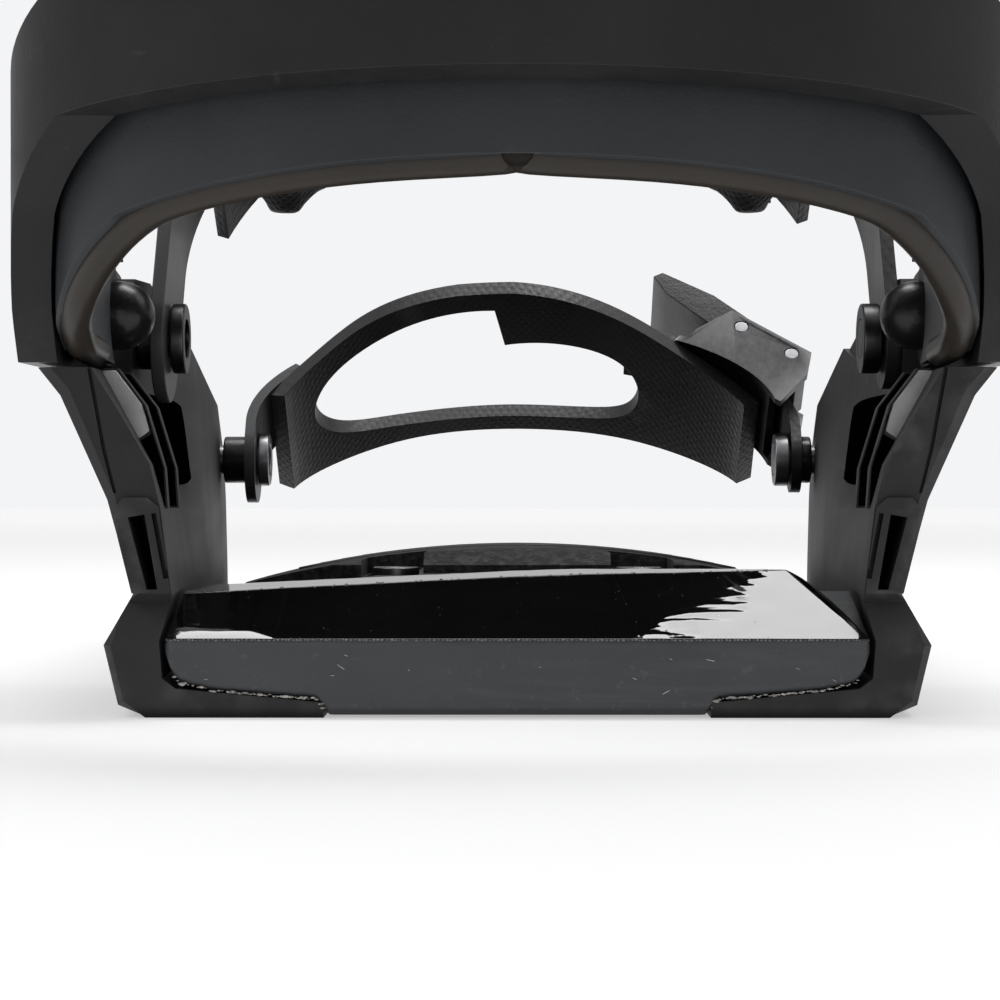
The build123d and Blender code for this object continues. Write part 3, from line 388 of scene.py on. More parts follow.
def grid_border(columns, rows):
    """The points along a grid's border, once round."""
    row = columns + 1
    border = list(range(row)) + [j * row + columns for j in range(1, rows + 1)]
    border += [rows * row + i for i in range(columns - 1, -1, -1)]
    return border + [j * row for j in range(rows - 1, 0, -1)]


def closed_pad(name, columns, rows, front, back):
    """A closed pad between a front grid and a back grid that meet along their borders."""
    row = columns + 1
    points = [place(i, j) for place in (front, back) for j in range(rows + 1) for i in range(row)]
    shift = row * (rows + 1)
    faces = []
    for j in range(rows):
        for i in range(columns):
            a = j * row + i
            faces.append((a, a + 1, a + row + 1, a + row))
            faces.append((a + shift, a + row + shift, a + row + 1 + shift, a + 1 + shift))
    border = grid_border(columns, rows)
    for a, b in zip(border, border[1:] + border[:1]):
        faces.append((a, a + shift, b + shift, b))
    mesh = mesh_of(name, points, faces)
    tidy = bmesh.new()
    tidy.from_mesh(mesh)
    bmesh.ops.recalc_face_normals(tidy, faces=tidy.faces)
    tidy.to_mesh(mesh)
    tidy.free()
    return mesh


def add_tube(build, path, radius, sides):
    """A round tube along millimetre points, added to a bmesh."""
    path = [Vector(p) * MM for p in path]
    last = len(path) - 1
    rings = []
    for k, at in enumerate(path):
        ahead = (path[min(k + 1, last)] - path[max(k - 1, 0)]).normalized()
        side = ahead.cross(Vector((0.13, 0.21, 0.97))).normalized()
        up = side.cross(ahead).normalized()
        turns = [2 * math.pi * s / sides for s in range(sides)]
        spokes = [side * math.cos(a) + up * math.sin(a) for a in turns]
        rings.append([build.verts.new(at + spoke * radius * MM) for spoke in spokes])
    for low, high in zip(rings, rings[1:]):
        for s in range(sides):
            build.faces.new((low[s], low[(s + 1) % sides], high[(s + 1) % sides], high[s]))
    build.faces.new(rings[0][::-1])
    build.faces.new(rings[-1])


def add_grain(build, at, size, chance, stretch=(1.0, 1.0, 1.0)):
    """A small irregular lump, added to a bmesh."""
    made = bmesh.ops.create_icosphere(build, subdivisions=1, radius=size * MM)
    for vert in made["verts"]:
        jitter = 1.0 + chance.uniform(-0.35, 0.35)
        vert.co = Vector([at[k] * MM + vert.co[k] * jitter * stretch[k] for k in range(3)])


def finish_build(name, build):
    """A mesh from a bmesh."""
    mesh = bpy.data.meshes.new(name)
    build.to_mesh(mesh)
    build.free()
    return mesh


def settled(obj):
    """Apply an object's modifiers to its mesh."""
    graph = bpy.context.evaluated_depsgraph_get()
    graph.update()
    mesh = bpy.data.meshes.new_from_object(obj.evaluated_get(graph), depsgraph=graph)
    obj.modifiers.clear()
    obj.data = mesh
    return obj


def copied(node, name, body, slot, edge, segments=3):
    """A new piece in a CAD node's shape with soft rounded edges, standing for the node."""
    made = piece(name, nodes[node].data.copy(), body, slot, (node,))
    soften(made, 1.0, edge, segments, 30)
    return made


def ease(value, low, high):
    """0 below low, 1 above high, smooth between."""
    t = min(1.0, max(0.0, (value - low) / (high - low)))
    return t * t * (3 - 2 * t)


def along(value, stops):
    """Linear interpolation through (at, value) stops."""
    for (a, low), (b, high) in zip(stops, stops[1:]):
        if value <= b:
            return low + (high - low) * max(0.0, (value - a) / (b - a))
    return stops[-1][1]


# ---- heel pad --------------------------------------------------------------------
pad_low, pad_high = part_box("heel_pad")
_, cap_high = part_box("heel_pad_cap")
REAR = pad_low.y / MM                  # the rear face of the pad
PAD_HALF = pad_high.x / MM
PAD_FRONT = -86.0
PAD_LIFT = 0.35                        # the pad's clearance over the floor
PAD_ROUND = 0.7
PAD_SHELF = [(25.0, 2.5), (40.0, 3.7), (44.4, 4.7), (45.6, 6.0), (46.4, 8.4)]
CAP_END = cap_high.y / MM
RIM_Z = 10.32                          # the edge between the rear face and the slope


def pad_bottom(x):
    """The lower edge of the pad's rear face: it steps up over the base's feet."""
    x = abs(x)
    step = ease(x, 24.6, 26.6)
    return PAD_LIFT * (1 - step) + along(x, PAD_SHELF) * step


def pad_bulge(x):
    """How far the middle of the pad's rear face stands out."""
    return 0.22 * (1 - (x / PAD_HALF) ** 2)


def heel_pad_body():
    """The rubber body: a faintly crowned rear face with rounded edges."""
    columns, rows = 150, 16

    def front(i, j):
        x = -PAD_HALF + 2 * PAD_HALF * i / columns
        low = pad_bottom(x)
        z = low + (RIM_Z - 0.12 - low) * j / rows
        near = min(z - low, PAD_HALF - abs(x) + 0.02)
        fall = max(0.0, PAD_ROUND - near)
        bulge = pad_bulge(x) * (1 - (2 * j / rows - 1) ** 2)
        drawn_in = math.sqrt(max(0.0, PAD_ROUND ** 2 - fall ** 2))
        return (x, REAR - bulge + PAD_ROUND - drawn_in, z)

    def back(i, j):
        x, _, z = front(i, j)
        return (x * 0.99, PAD_FRONT, min(z, RIM_Z - 0.3) + 6.0 * j / rows)

    mesh = closed_pad("heel_pad_body", columns, rows, front, back)
    return piece("heel_pad_body", mesh, "base", "pad_rubber", ("heel_pad",))


# The ridge's height across the pad, from left to right.
RIDGE = [(-46.0, 15.9), (-29.0, 16.7), (-1.0, 18.0), (29.0, 18.9), (38.4, 19.2), (46.0, 18.2)]
SLOPE_ROWS, TOP_ROWS, SKIN_COLUMNS = 80, 16, 320
STEEP, GENTLE = math.tan(math.radians(35.0)), math.tan(math.radians(22.5))
SKIN_HALF = PAD_HALF - 0.05
FACET_AT, FACET_DROP = 0.94, 0.55      # where the right side's facet starts, and its slope
TOP_START, TOE_TOP = -92.0, 18.3       # where the top starts to fall, and its height at its end
SKIN_REAR = REAR + 0.05


def side_lean(q, s):
    """The X and the drop at q (-1 to 1) across the skin, a share s up its slope."""
    if q <= 0:
        return q * (SKIN_HALF - 0.9 * s), 0.0
    inner, outer = SKIN_HALF - 0.5 - 9.2 * s, SKIN_HALF - 6.4 * s
    if q <= FACET_AT:
        return q / FACET_AT * inner, 0.0
    across = (outer - inner) * (q - FACET_AT) / (1 - FACET_AT)
    return inner + across, FACET_DROP * across * s


def steep_reach(x):
    """How far up the slope its steep foot reaches, from 0 to 1."""
    streak = 0.02 * noise.noise(Vector((x * 1.9, 3.1, 0.2)))
    streak += 0.05 * noise.noise(Vector((x * 0.45, 7.7, 0.0)))
    steep = max(0.0, (x - 8.0) / 26.0) ** 3.6 + streak * ease(x, 14.0, 22.0)
    return min(1.2, max(steep, 0.11 * ease(-x, 31.0, 36.0)))


def steepness(s, x):
    """The slope's tangent at a share s of its depth: brushed streaks where it turns gentle."""
    steep = steep_reach(x)
    if steep <= 0.01:
        return GENTLE
    streak = noise.noise(Vector((x * 0.07, s * 17.0, 5.0)))
    streak += 0.6 * noise.noise(Vector((x * 0.16, s * 34.0, 9.0)))
    s += 0.36 * streak * ease(x, 12.0, 24.0) * (1.0 - ease(x, 31.0, 36.0))
    return STEEP + (GENTLE - STEEP) * ease(s, steep - 0.12, steep + 0.12)


def flat_top(x, y):
    """The height of the skin's top, which falls slightly to the toe."""
    ridge = along(x, RIDGE)
    share = min(1.0, max(0.0, (y - TOP_START) / (CAP_END - TOP_START)))
    return ridge + (min(ridge, TOE_TOP) - ridge) * share


def skin_grid():
    """Columns of millimetre points up the slope, over the ridge and along the flat top."""
    grid = []
    for i in range(SKIN_COLUMNS + 1):
        q = 2 * i / SKIN_COLUMNS - 1
        climb = [0.0]
        for k in range(SLOPE_ROWS):
            s = (k + 0.5) / SLOPE_ROWS
            climb.append(climb[-1] + steepness(s, side_lean(q, s)[0]) / SLOPE_ROWS)
        x, _ = side_lean(q, 1.0)
        depth = (along(x, RIDGE) - RIM_Z) / climb[-1]
        for _ in range(4):             # the slope ends where it meets the top
            depth = (flat_top(x, SKIN_REAR + depth) - RIM_Z) / climb[-1]
        column = []
        for j in range(SLOPE_ROWS + 1):
            x, drop = side_lean(q, j / SLOPE_ROWS)
            y = SKIN_REAR + depth * j / SLOPE_ROWS
            column.append((x, y, RIM_Z + climb[j] * depth - drop))
        for j in range(1, TOP_ROWS + 1):
            y = SKIN_REAR + depth + (CAP_END - SKIN_REAR - depth) * j / TOP_ROWS
            column.append((x, y, flat_top(x, y) - drop))
        grid.append([worn_skin(j, *spot) for j, spot in enumerate(column)])
    return grid


def worn_skin(j, x, y, z):
    """A point of the skin with its slight waviness, and the ridge's nicks."""
    z += 0.035 * noise.noise(Vector((x * 0.3, y * 0.3, 1.0))) * ease(z, RIM_Z, RIM_Z + 1.0)
    if j == SLOPE_ROWS:
        z -= 0.07 * abs(noise.noise(Vector((x * 0.8, 4.0, 0.0))))
    return x, y, z


SKIN = skin_grid()


def heel_pad_skin():
    """The glossy skin: a slope that is steeper to the right, a soft ridge, and a flat top."""
    rows = SLOPE_ROWS + TOP_ROWS
    mesh = sheet_of("heel_pad_skin", SKIN_COLUMNS, rows, lambda i, j: SKIN[i][j])
    made = piece("heel_pad_skin", mesh, "base", "gloss_skin", ("heel_pad_cap",))
    thick = made.modifiers.new("thick", "SOLIDIFY")
    thick.thickness = 0.9 * MM
    thick.offset = -1.0
    return made


def pad_edge_notches():
    """The row of tiny moulded teeth along the pad's upper rear edge."""
    build = bmesh.new()
    chance = random.Random(4)
    x = -PAD_HALF + 0.8
    while x < PAD_HALF - 0.8:
        size = chance.uniform(0.09, 0.17)
        z = RIM_Z - 0.1 + chance.uniform(-0.04, 0.04)
        add_grain(build, (x, REAR - 0.02, z), size, chance, (1.5, 0.8, 0.9))
        x += chance.uniform(0.42, 0.68)
    return piece("pad_edge_notches", finish_build("pad_edge_notches", build), "base", "pad_rubber",
                 material=pale_flash("pad_teeth", (0.10, 0.10, 0.10), (0.22, 0.22, 0.215)))


def pale_flash(name, dark, light):
    """Thin torn plastic along moulded edges."""
    s = Shader(name)
    s.colour(s.mix(s.remap(s.noise(2600.0, 3.0), 0.35, 0.65, 0.0, 1.0), dark, light))
    s.roughness(s.remap(s.noise(900.0), 0.3, 0.7, 0.35, 0.6))
    s.normal(s.bump(s.noise(3200.0, 2.0), 0.00005, 0.5))
    return s.material


def pad_scratches():
    """Tiny pale nicks on the pad's rear face."""
    build = bmesh.new()
    chance = random.Random(31)
    nicks = [(-23.2, 6.7, -0.6), (19.6, 3.4, 0.5), (25.4, 7.6, -0.2)]      # x, z, turn
    long_ones = len(nicks)
    for _ in range(9):
        nicks.append((chance.uniform(-42, 42), chance.uniform(4.5, 9.4), chance.uniform(-0.5, 0.5)))
    for k, (x, z, turn) in enumerate(nicks):
        half = 0.55 if k < long_ones else chance.uniform(0.12, 0.3)
        y = REAR - (pad_bulge(x) + 0.02)
        ends = [(x + d * half * math.cos(turn), y, z + d * half * math.sin(turn))
                for d in (-1, 0, 1)]
        add_tube(build, ends, 0.06 if k < long_ones else 0.04, 6)
    return piece("pad_scratches", finish_build("pad_scratches", build), "base", "pad_rubber",
                 material=pale_flash("nick_grey", (0.30, 0.30, 0.30), (0.62, 0.61, 0.60)))


def seam_flash():
    """Crumbs of flash in the joint between the pad and the base's feet."""
    build = bmesh.new()
    chance = random.Random(11)
    for side in (-1, 1):
        x = 25.6
        while x < 45.4:
            z = pad_bottom(x) - 0.12 + chance.uniform(-0.12, 0.1)
            size = chance.uniform(0.07, 0.24) * (1.5 if chance.random() > 0.8 else 1.0)
            add_grain(build, (side * x, REAR - 0.12, z), size, chance, (1.9, 0.8, 0.7))
            x += chance.uniform(0.22, 0.75)
    return piece("seam_flash", finish_build("seam_flash", build), "base", "base_nylon",
                 material=pale_flash("torn_flash", (0.07, 0.068, 0.064), (0.55, 0.53, 0.50)))


def ridge_lint():
    """Specks of lint along the pad's ridge, and dust on its slope."""
    build = bmesh.new()
    chance = random.Random(23)
    for _ in range(46):
        x, y, z = SKIN[chance.randint(6, 300)][SLOPE_ROWS + chance.randint(-1, 1)]
        add_grain(build, (x, y, z + 0.03), chance.uniform(0.06, 0.17), chance, (1.6, 1.2, 0.9))
    for _ in range(40):
        x, y, z = SKIN[chance.randint(6, 300)][chance.randint(2, SLOPE_ROWS - 2)]
        add_grain(build, (x, y, z + 0.02), chance.uniform(0.025, 0.06), chance)
    return piece("ridge_lint", finish_build("ridge_lint", build), "base", "gloss_skin",
                 material=pale_flash("lint", (0.12, 0.12, 0.12), (0.42, 0.41, 0.39)))


heel_pad_body()
heel_pad_skin()
pad_edge_notches()
pad_scratches()
seam_flash()
ridge_lint()


# ---- highback's lower rim and inner pads ---------------------------------------------
# The highback's outer form: a height, its half-width, the Y where its sides bend, and the depth
# of the back behind that.
FORM = [(40.0, 59.5, -108.0, 32.2), (100.0, 58.4, -106.5, 31.6), (165.0, 51.0, -98.0, 30.5),
        (245.0, 41.0, -90.0, 28.0)]
SHELL_THICK = 3.4
PAD_SEAT = 3.45                        # a pad's back, just inside the shell's inner face
RIM_FROM, RIM_REACH = -92.0, 47.9      # the bead's front end, and how far back it goes


def form_at(z, inset):
    """Half-width, bend and depth at a height, this far inside the highback's outer face."""
    half, bend, depth = (along(z, [(row[0], row[k]) for row in FORM]) for k in (1, 2, 3))
    return half - inset, bend, depth - inset


def shell_x(y, z, inset):
    """The X of the highback's side at a depth."""
    half, bend, depth = form_at(z, inset)
    if y >= bend:
        return half
    return half * math.sqrt(max(0.0, 1 - ((bend - y) / depth) ** 2))


def form_y(x, z, inset):
    """The Y of the highback's back at a place across it."""
    half, bend, depth = form_at(z, inset)
    return bend - depth * math.sqrt(max(0.0, 1 - min(1.0, abs(x) / half) ** 2))


def rim_height(y):
    """The highback's lower edge, from the wings to the back."""
    return along(-y, [(76.0, 47.4), (104.0, 48.4), (114.0, 53.0), (126.0, 64.0), (150.0, 74.0)])


def highback_rim():
    """The rolled bead along the highback's lower edge."""
    build = bmesh.new()
    count, side = 60, []
    for k in range(count):
        y = RIM_FROM - RIM_REACH * math.sin(k / (count - 1) * math.pi / 2)
        z = rim_height(y)
        side.append((shell_x(y, z, SHELL_THICK / 2), y, z + 0.9))
    path = [(-x, y, z) for x, y, z in side] + side[::-1]
    for _ in range(3):                 # rounds the corners of rim_height
        inner = [tuple((a[k] + 2 * b[k] + c[k]) / 4 for k in range(3))
                 for a, b, c in zip(path, path[1:], path[2:])]
        path = [path[0], *inner, path[-1]]
    add_tube(build, path, 2.15, 14)
    finish = moulded_nylon("rim_nylon", (0.023, 0.019, 0.0155), (0.032, 0.027, 0.022),
                           (0.32, 0.44), 0.3)
    mesh = finish_build("highback_rim", build)
    return piece("highback_rim", mesh, "highback", "shell_nylon", material=finish)


def highback_pad(node, name, thickness, grooves):
    """A foam pad with rounded edges and pressed-in channels, lying on the highback."""
    low, high = (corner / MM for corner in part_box(node))
    columns, rows = 96, 84
    half = high.x - 0.3

    def spot(i, j):
        """X, Z, u and v of a grid point; the outline is a superellipse with round corners."""
        u, v = 2 * i / columns - 1, 2 * j / rows - 1
        corner = 1 - 0.085 * (abs(u) ** 4) * (abs(v) ** 4)
        z = (low.z + high.z) / 2 + v * corner * (high.z - low.z) / 2 * 0.985
        return u * corner * half, z, u, v

    def front(i, j):
        x, z, u, v = spot(i, j)
        edge = min((1 - abs(u)) * half, (1 - abs(v)) * (high.z - low.z) / 2)
        puff = math.sqrt(max(0.0, 1 - (1 - min(1.0, edge / 4.5)) ** 2))
        height = 0.6 + (thickness - 0.9) * puff
        for groove in grooves:
            height -= 1.5 * math.exp(-(groove(x, z) / 1.1) ** 2) * puff
        height += 0.18 * noise.noise(Vector((x * 0.12, z * 0.12, 2.0)))
        return (x, form_y(x, z, SHELL_THICK + height), z)

    def back(i, j):
        x, z, _, _ = spot(i, j)
        return (x, form_y(x, z, PAD_SEAT), z)

    mesh = closed_pad(name, columns, rows, front, back)
    made = piece(name, mesh, "highback", "foam", (node,))
    return made


highback_rim()
highback_pad("highback_upper_pad", "calf_pad", 5.0, [
    lambda x, z, at=at: (z - at) - 0.35 * abs(x) for at in (166.0, 180.0, 194.0)])
highback_pad("highback_lower_pad", "heel_cup_pad", 6.0, [
    lambda x, z: (z - 98.0) + 0.22 * abs(x),
    lambda x, z: (z - 112.0) + 0.22 * abs(x),
    lambda x, z: abs(x) - 24.0 - 0.1 * (z - 108.0)])


# ---- inside of the heel arms -------------------------------------------------------
RIB_FACES = (-94.0, -82.0)             # rear faces of the two ribs in each arm
ON_RIB = 0.02                          # how far a plate's back is sunk in its rib
# Outlines in X and Z on the ribs: POCKET is a pale panel of painted reflection; SHADE and
# REAR_SHADE are black plates of painted shade.
POCKET = [(57.0, 46.2), (54.4, 46.2), (51.0, 41.7), (50.4, 40.0), (49.9, 38.0), (51.3, 37.0),
          (53.4, 40.3)]
SHADE = [(50.7, 41.5), (50.1, 40.0), (49.5, 37.6), (51.2, 36.6), (49.6, 32.8), (49.0, 27.8),
         (47.7, 27.8), (48.0, 33.0)]
REAR_SHADE = [(56.6, 46.2), (54.3, 46.2), (50.6, 41.5), (48.0, 33.0), (47.7, 27.8), (50.0, 27.8),
              (52.0, 34.0)]
# The black sheets and plates in the heel arms are painted shade, set where the arm's deep gap lies
# in shadow.
SHADE_SHEET_AT, SHADE_SHEET_HALF = (-47.6, 37.7), (31.6, 6.9)      # middle and half-size, in Y and Z
SHADE_SHEET_THICK = 0.7
# Near-black matt rubber for the painted shade in the heel arms.
PAINTED_SHADE_RUBBER = rubber("painted_shade_rubber", (0.0006, 0.0006, 0.0006), (0.0015, 0.0015, 0.0015),
                      (0.9, 1.0), shine=0.0)


def add_plate(build, outline, y, side):
    """A thin plate with a chamfered rim on a face that looks to the heel."""
    thick, rim = 0.3, 0.25
    middle = [sum(p[k] for p in outline) / len(outline) for k in (0, 1)]
    rings = []
    for proud, inset in ((0.0, 0.0), (thick - 0.1, 0.0), (thick, rim)):
        ring = []
        for x, z in outline:
            reach = math.hypot(x - middle[0], z - middle[1])
            share = inset / reach
            spot = (side * (x + (middle[0] - x) * share), y - proud, z + (middle[1] - z) * share)
            ring.append(build.verts.new(Vector(spot) * MM))
        rings.append(ring)
    count = len(outline)
    for low, high in zip(rings, rings[1:]):
        for k in range(count):
            build.faces.new((low[k], low[(k + 1) % count], high[(k + 1) % count], high[k]))
    build.faces.new(rings[0])
    build.faces.new(rings[-1])


def arm_pockets():
    """Pale panels of painted reflection and black plates of painted shade on the ribs inside the
    heel arms.
    """
    pale, black = bmesh.new(), bmesh.new()
    for side in (-1, 1):
        add_plate(pale, POCKET, RIB_FACES[0] + ON_RIB, side)
        add_plate(black, SHADE, RIB_FACES[0] + ON_RIB, side)
        add_plate(black, REAR_SHADE, RIB_FACES[1] + ON_RIB, side)
    for build in (pale, black):
        bmesh.ops.recalc_face_normals(build, faces=build.faces)
    # pale grey: the painted reflection where the pocket catches the light
    finish = moulded_nylon("painted_reflection_nylon", (0.46, 0.46, 0.463), (0.54, 0.54, 0.543),
                           (0.36, 0.5), 0.4)
    panels = finish_build("arm_painted_reflection_panels", pale)
    piece("arm_painted_reflection_panels", panels, "base", "base_nylon", material=finish)
    # black plates of painted shade on the ribs, beside the pale pocket
    plates = finish_build("arm_rib_painted_shade", black)
    piece("arm_rib_painted_shade", plates, "base", "pad_rubber", material=PAINTED_SHADE_RUBBER)


def inner_wall(y, z):
    """The X of the rail's inner face, found by a ray from the middle of the base."""
    start, ahead = Vector((0.0, y, z)) * MM, Vector((1, 0, 0))
    hit, spot, _, _ = nodes["baseplate"].ray_cast(start, ahead)
    return spot.x / MM if hit else 60.0


def shade_sheet_spot(side, u, v, proud):
    """A shade sheet's point at u and v (-1 to 1): on the rail, or on its round-edged outer face."""
    corner = 1 - 0.10 * abs(u) ** 4 * abs(v) ** 4
    y, z = (at + w * corner * half for at, w, half in zip(SHADE_SHEET_AT, (u, v), SHADE_SHEET_HALF))
    edge = min(1 - abs(u), 1 - abs(v))
    lift = proud * SHADE_SHEET_THICK * math.sqrt(1 - (1 - min(1.0, edge * 6 + 0.02)) ** 2)
    return Vector((side * (inner_wall(y, z) - 0.02 - lift), y, z)) * MM


def arm_painted_shade_sheets():
    """Thin black rubber sheets on the rails' inner faces, between the heel arm and the ear: painted
    shade where the gap there lies in shadow.
    """
    build = bmesh.new()
    columns, rows = 44, 18
    row = columns + 1
    border = grid_border(columns, rows)
    for side in (-1, 1):
        grids = [[build.verts.new(shade_sheet_spot(side, 2 * i / columns - 1, 2 * j / rows - 1, proud))
                  for j in range(rows + 1) for i in range(row)] for proud in (0.0, 1.0)]
        for j in range(rows):
            for i in range(columns):
                a = j * row + i
                for grid in grids:
                    build.faces.new((grid[a], grid[a + 1], grid[a + row + 1], grid[a + row]))
        for a, b in zip(border, border[1:] + border[:1]):
            build.faces.new((grids[0][a], grids[0][b], grids[1][b], grids[1][a]))
    bmesh.ops.recalc_face_normals(build, faces=build.faces)
    mesh = finish_build("arm_painted_shade_sheets", build)
    return piece("arm_painted_shade_sheets", mesh, "base", "pad_rubber", material=PAINTED_SHADE_RUBBER)


arm_painted_shade_sheets()
arm_pockets()


# ---- foot pads -------------------------------------------------------------------------
CROWN = 211.0                          # the radius of the ramp pad's crown


def grip_ribs(name, body, rows, height):
    """Low rounded ribs, each a millimetre path, on a pad's top."""
    build = bmesh.new()
    for path in rows:
        add_tube(build, path, height, 8)
    finish = rubber(name + "_rubber", (0.018, 0.018, 0.019), (0.034, 0.034, 0.036))
    return piece(name, finish_build(name, build), body, "foam", material=finish)


def footbed_rows(top):
    """Curved rows on both sides, before and behind the disc."""
    rows = []
    for side in (-1, 1):
        for k in range(6):
            y = -52.0 + 3.4 * k if k < 3 else 34.0 + 4.4 * (k - 3)
            rows.append([(side * x, y + 0.02 * (x - 26.0) ** 2, top - 0.15)
                         for x in range(14, 44, 3)])
    return [row for row in rows if all(math.hypot(p[0], p[1]) > 48.5 for p in row)]


def ramp_rows(top):
    """Four rows across the ramp, each shorter than the one behind it."""
    return [[(x, 97.0 + 3.6 * k - 0.0045 * x * x, top - 0.2 - x * x / (2 * CROWN))
             for x in range(-44 + 4 * k, 45 - 4 * k, 4)] for k in range(4)]


copied("footbed_pad", "footbed", "base", "foam", 0.9)
copied("ramp_pad", "toe_ramp_grip", "ramp", "foam", 0.7)
copied("underside_cushions", "board_cushions", "base", "foam", 0.35, 2)
grip_ribs("footbed_ribs", "base", footbed_rows((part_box("footbed_pad")[1] / MM).z), 0.55)
grip_ribs("ramp_ribs", "ramp", ramp_rows((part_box("ramp_pad")[1] / MM).z), 0.6)


# ---- disc marks -------------------------------------------------------------------------
def disc_marks():
    """Stance marks: raised bars round the disc's rim, a longer one every 30 degrees."""
    build = bmesh.new()
    _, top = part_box("mounting_disc")
    marks = 72
    for k in range(marks):
        angle = 2 * math.pi * k / marks
        inner = 42.2 if k % 6 else 41.0
        path = [(r * math.cos(angle), r * math.sin(angle), top.z / MM - 0.02)
                for r in (inner, 43.0, 44.2)]
        add_tube(build, path, 0.22, 6)
    finish = pale_flash("mark_grey", (0.16, 0.16, 0.16), (0.24, 0.24, 0.24))
    mesh = finish_build("disc_marks", build)
    return piece("disc_marks", mesh, "disc", "disc_nylon", material=finish)


disc_marks()


# ---- ankle pad --------------------------------------------------------------------------
ANKLE_AT = Vector((0.0, -58.0, 52.5))
LEAN = math.radians(33.0)
UP = Vector((0.0, math.sin(LEAN), math.cos(LEAN)))
OUT = Vector((0.0, -math.cos(LEAN), math.sin(LEAN)))
ARCH_R, ARCH_RISE, ARCH_LEG = 53.5, 50.0, 18.0
CUSHION_FROM, CUSHION_SWEEP = 31.0, 118.0              # degrees round the arch
CUSHION_HALF = 22.2
SWELL_STEPS = 20                       # frames of cloth simulation


def on_ankle(angle, offset, width):
    """A millimetre point on the ankle strap's arch."""
    x = (ARCH_R + offset) * math.cos(angle)
    rise = ARCH_LEG + (ARCH_RISE + offset) * math.sin(angle)
    return ANKLE_AT + Vector((x, 0, 0)) + UP * rise + OUT * width


def ankle_cushion():
    """The ankle strap's pad, swollen by a cloth simulation under its skin."""
    columns, rows = 72, 26

    def face(offset):
        def place(i, j):
            angle = math.radians(CUSHION_FROM + CUSHION_SWEEP * i / columns)
            return on_ankle(angle, offset, (-1 + 2 * j / rows) * CUSHION_HALF)
        return place

    mesh = closed_pad("ankle_cushion", columns, rows, face(-4.7), face(-11.0))
    made = piece("ankle_cushion", mesh, "ankle_strap", "strap_pad", ("ankle_pad",))
    swell(made, 2.2, 5.0, 2.4)
    keep_under_skin(made)
    smooth = made.modifiers.new("smooth", "SUBSURF")
    smooth.levels = smooth.render_levels = 1
    settled(made)
    shade_smooth(made.data)
    return made


def swell(obj, voxel, pressure, limit):
    """Remesh a pad and let cloth pressure round it, no point moving past the limit in mm."""
    remesh = obj.modifiers.new("remesh", "REMESH")
    remesh.mode = "VOXEL"
    remesh.voxel_size = voxel * MM
    settled(obj)
    start = [v.co.copy() for v in obj.data.vertices]
    cloth = obj.modifiers.new("cloth", "CLOTH")
    cloth.settings.use_pressure = True
    cloth.settings.uniform_pressure_force = pressure
    cloth.settings.effector_weights.gravity = 0.0
    cloth.settings.quality = 6
    cloth.collision_settings.use_collision = False
    for step in range(1, SWELL_STEPS + 1):
        bpy.context.scene.frame_set(step)
    settled(obj)
    for vert, before in zip(obj.data.vertices, start):
        move = vert.co - before
        if move.length > limit * MM:
            vert.co = before + move.normalized() * limit * MM
    bpy.context.scene.frame_set(1)


def keep_under_skin(obj):
    """Hold the pad's outer face under the strap's skin, and press in its stitched channels."""
    least, inner = 1 - 13.4 / ARCH_RISE, 1 - 8.0 / ARCH_RISE
    for vert in obj.data.vertices:
        local = vert.co / MM - ANKLE_AT
        rise, width = local.dot(UP) - ARCH_LEG, local.dot(OUT)
        reach = math.hypot(local.x / ARCH_R, rise / ARCH_RISE)
        most = 1 - (4.35 if abs(width) < 20.0 else 3.3) / ARCH_RISE
        channel = 0.9 * sum(math.exp(-((abs(width) - at) / 1.3) ** 2) for at in (7.0, 16.5))
        target = max(least, reach) + (channel / ARCH_RISE if reach < inner else 0.0)
        scale = min(most, target) / reach
        width = max(-23.0, min(23.0, width))
        spot = Vector((local.x * scale, 0, 0)) + UP * (ARCH_LEG + rise * scale) + OUT * width
        vert.co = (ANKLE_AT + spot) * MM


def ankle_stitches():
    """A row of stitches along each of the pad's bound edges."""
    build = bmesh.new()
    count, low, high = 58, -4.35, -4.05
    for width in (-20.9, 20.9):
        for k in range(count):
            a = math.radians(33.0 + 114.0 * k / count)
            b = a + math.radians(1.25)
            path = [on_ankle(a, low, width), on_ankle((a + b) / 2, high, width),
                    on_ankle(b, low, width)]
            add_tube(build, path, 0.32, 6)
    finish = thread("stitch_thread", (0.05, 0.05, 0.052), (0.12, 0.12, 0.125))
    mesh = finish_build("ankle_stitches", build)
    return piece("ankle_stitches", mesh, "ankle_strap", "strap_pad", material=finish)


def thread(name, dark, light):
    """Twisted sewing thread."""
    s = Shader(name)
    twist = s.wave(420.0, s.mapped(turn=(0.5, 0.4, 0.3)), 0.4)
    s.colour(s.mix(twist, dark, light))
    s.roughness(s.remap(s.noise(800.0), 0.3, 0.7, 0.5, 0.7))
    s.normal(s.bump(twist, 0.00008, 0.6))
    return s.material


ankle_cushion()
ankle_stitches()


# ---- camera, light, floor -----------------------------------------------------
EYE = (0.0, -0.465, 0.030)
TILT, PAN = 90 - 0.21, 0.36            # degrees
FLOOR_HALF = 4.0
GLOW_REACH, GLOW = (0.5, 2.2), (0.42, 0.56)            # metres from the object, emission there
SEEN_COLOUR = (0.90, 0.905, 0.92, 1)
FADE, SURROUND = (-0.55, 0.35), (0.73, 0.66)           # a direction's Y, and the light from it


def camera():
    """The view from the heel, at the height of the rails."""
    data = bpy.data.cameras.new("camera")
    data.lens = 98.5
    data.sensor_width = 36.0
    data.clip_start = 0.02
    eye = bpy.data.objects.new("camera", data)
    eye.location = EYE
    eye.rotation_euler = (math.radians(TILT), 0.0, math.radians(PAN))
    bpy.context.scene.collection.objects.link(eye)
    bpy.context.scene.camera = eye


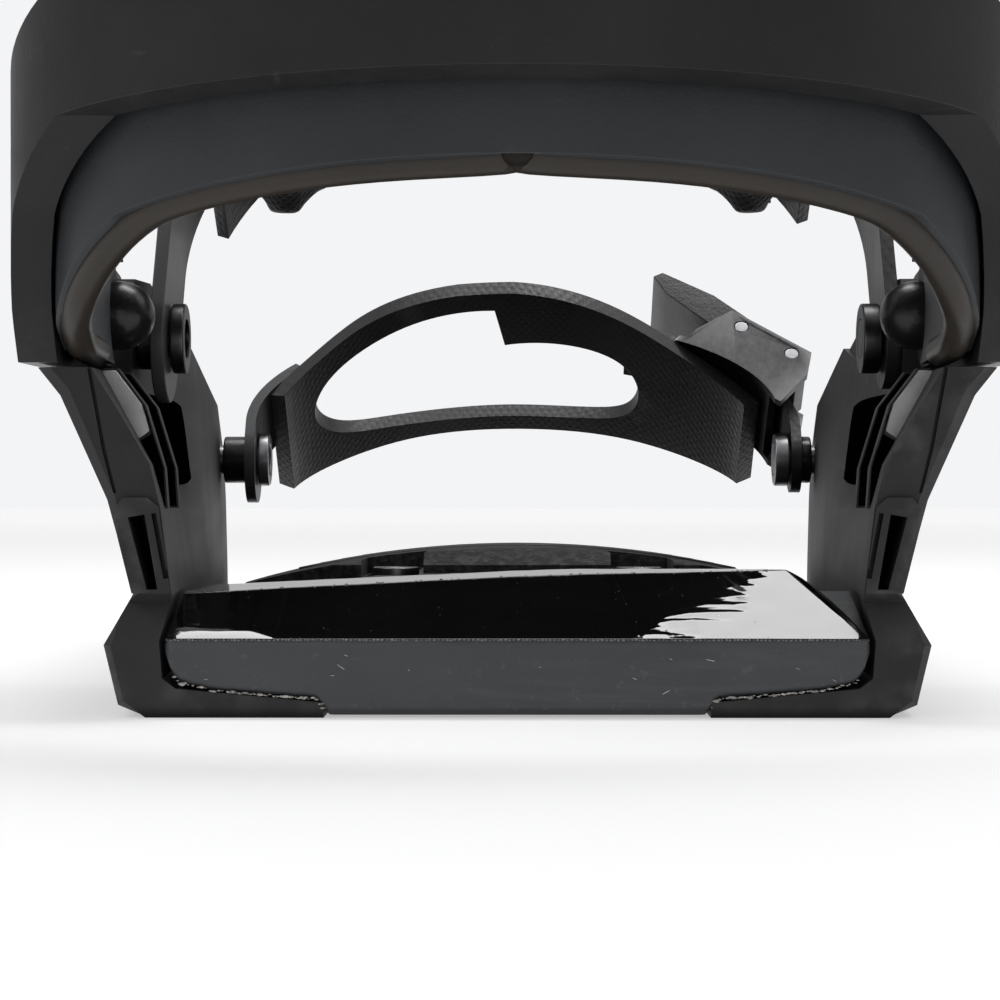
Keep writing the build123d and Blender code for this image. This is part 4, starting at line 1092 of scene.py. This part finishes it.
def area_light(name, place, target, size, power):
    """A soft rectangular light that faces a point."""
    data = bpy.data.lights.new(name, "AREA")
    data.shape = "RECTANGLE"
    data.size, data.size_y = size
    data.energy = power
    lamp = bpy.data.objects.new(name, data)
    lamp.location = place
    aim = Vector(target) - Vector(place)
    lamp.rotation_euler = aim.to_track_quat("-Z", "Y").to_euler()
    bpy.context.scene.collection.objects.link(lamp)


def floor():
    """A pale sweep that the binding stands on, lighter in the distance."""
    mesh = bpy.data.meshes.new("floor")
    corners = [(x * FLOOR_HALF, y * FLOOR_HALF, 0) for x, y in ((-1, -1), (1, -1), (1, 1), (-1, 1))]
    mesh.from_pydata(corners, [], [(0, 1, 2, 3)])
    sheet = bpy.data.objects.new("floor", mesh)
    bpy.context.scene.collection.objects.link(sheet)
    s = Shader("floor")
    s.set(Base_Color=(0.62, 0.62, 0.63, 1), Roughness=0.7, Emission_Color=(1, 1, 1, 1))
    reach = s.node("ShaderNodeVectorMath", {0: s.coords}, operation="LENGTH").outputs["Value"]
    s.link(s.remap(reach, *GLOW_REACH, *GLOW), s.bsdf.inputs["Emission Strength"])
    mesh.materials.append(s.material)


def studio():
    """White surroundings, a little brighter behind the heel, and three soft lights."""
    world = bpy.data.worlds.new("world")
    bpy.context.scene.world = world
    world.use_nodes = True
    tree = world.node_tree
    tree.nodes.clear()
    kinds = ("OutputWorld", "Background", "Background", "MixShader", "LightPath", "TexCoord",
             "SeparateXYZ", "MapRange")
    output, seen, lit, pick, path, coords, split, fade = (
        tree.nodes.new("ShaderNode" + kind) for kind in kinds)
    seen.inputs[0].default_value = SEEN_COLOUR
    for name, value in zip(("From Min", "From Max", "To Min", "To Max"), FADE + SURROUND):
        fade.inputs[name].default_value = value
    for source, target in (
            (coords.outputs["Generated"], split.inputs[0]),
            (split.outputs["Y"], fade.inputs["Value"]),
            (fade.outputs[0], lit.inputs["Strength"]),
            (path.outputs["Is Camera Ray"], pick.inputs[0]),
            (lit.outputs[0], pick.inputs[1]),
            (seen.outputs[0], pick.inputs[2]),
            (pick.outputs[0], output.inputs[0])):
        tree.links.new(source, target)
    area_light("key", (0.09, 0.175, 0.86), (0.02, -0.09, 0.014), (0.60, 0.27), 4.0)
    area_light("left", (-0.8, -0.35, 0.75), (0, -0.05, 0.04), (0.4, 0.5), 1.4)
    area_light("right", (0.8, 0.1, 0.8), (0, 0, 0.04), (0.4, 0.5), 0.9)
    bpy.context.scene.view_settings.view_transform = "Standard"


camera()
studio()
floor()
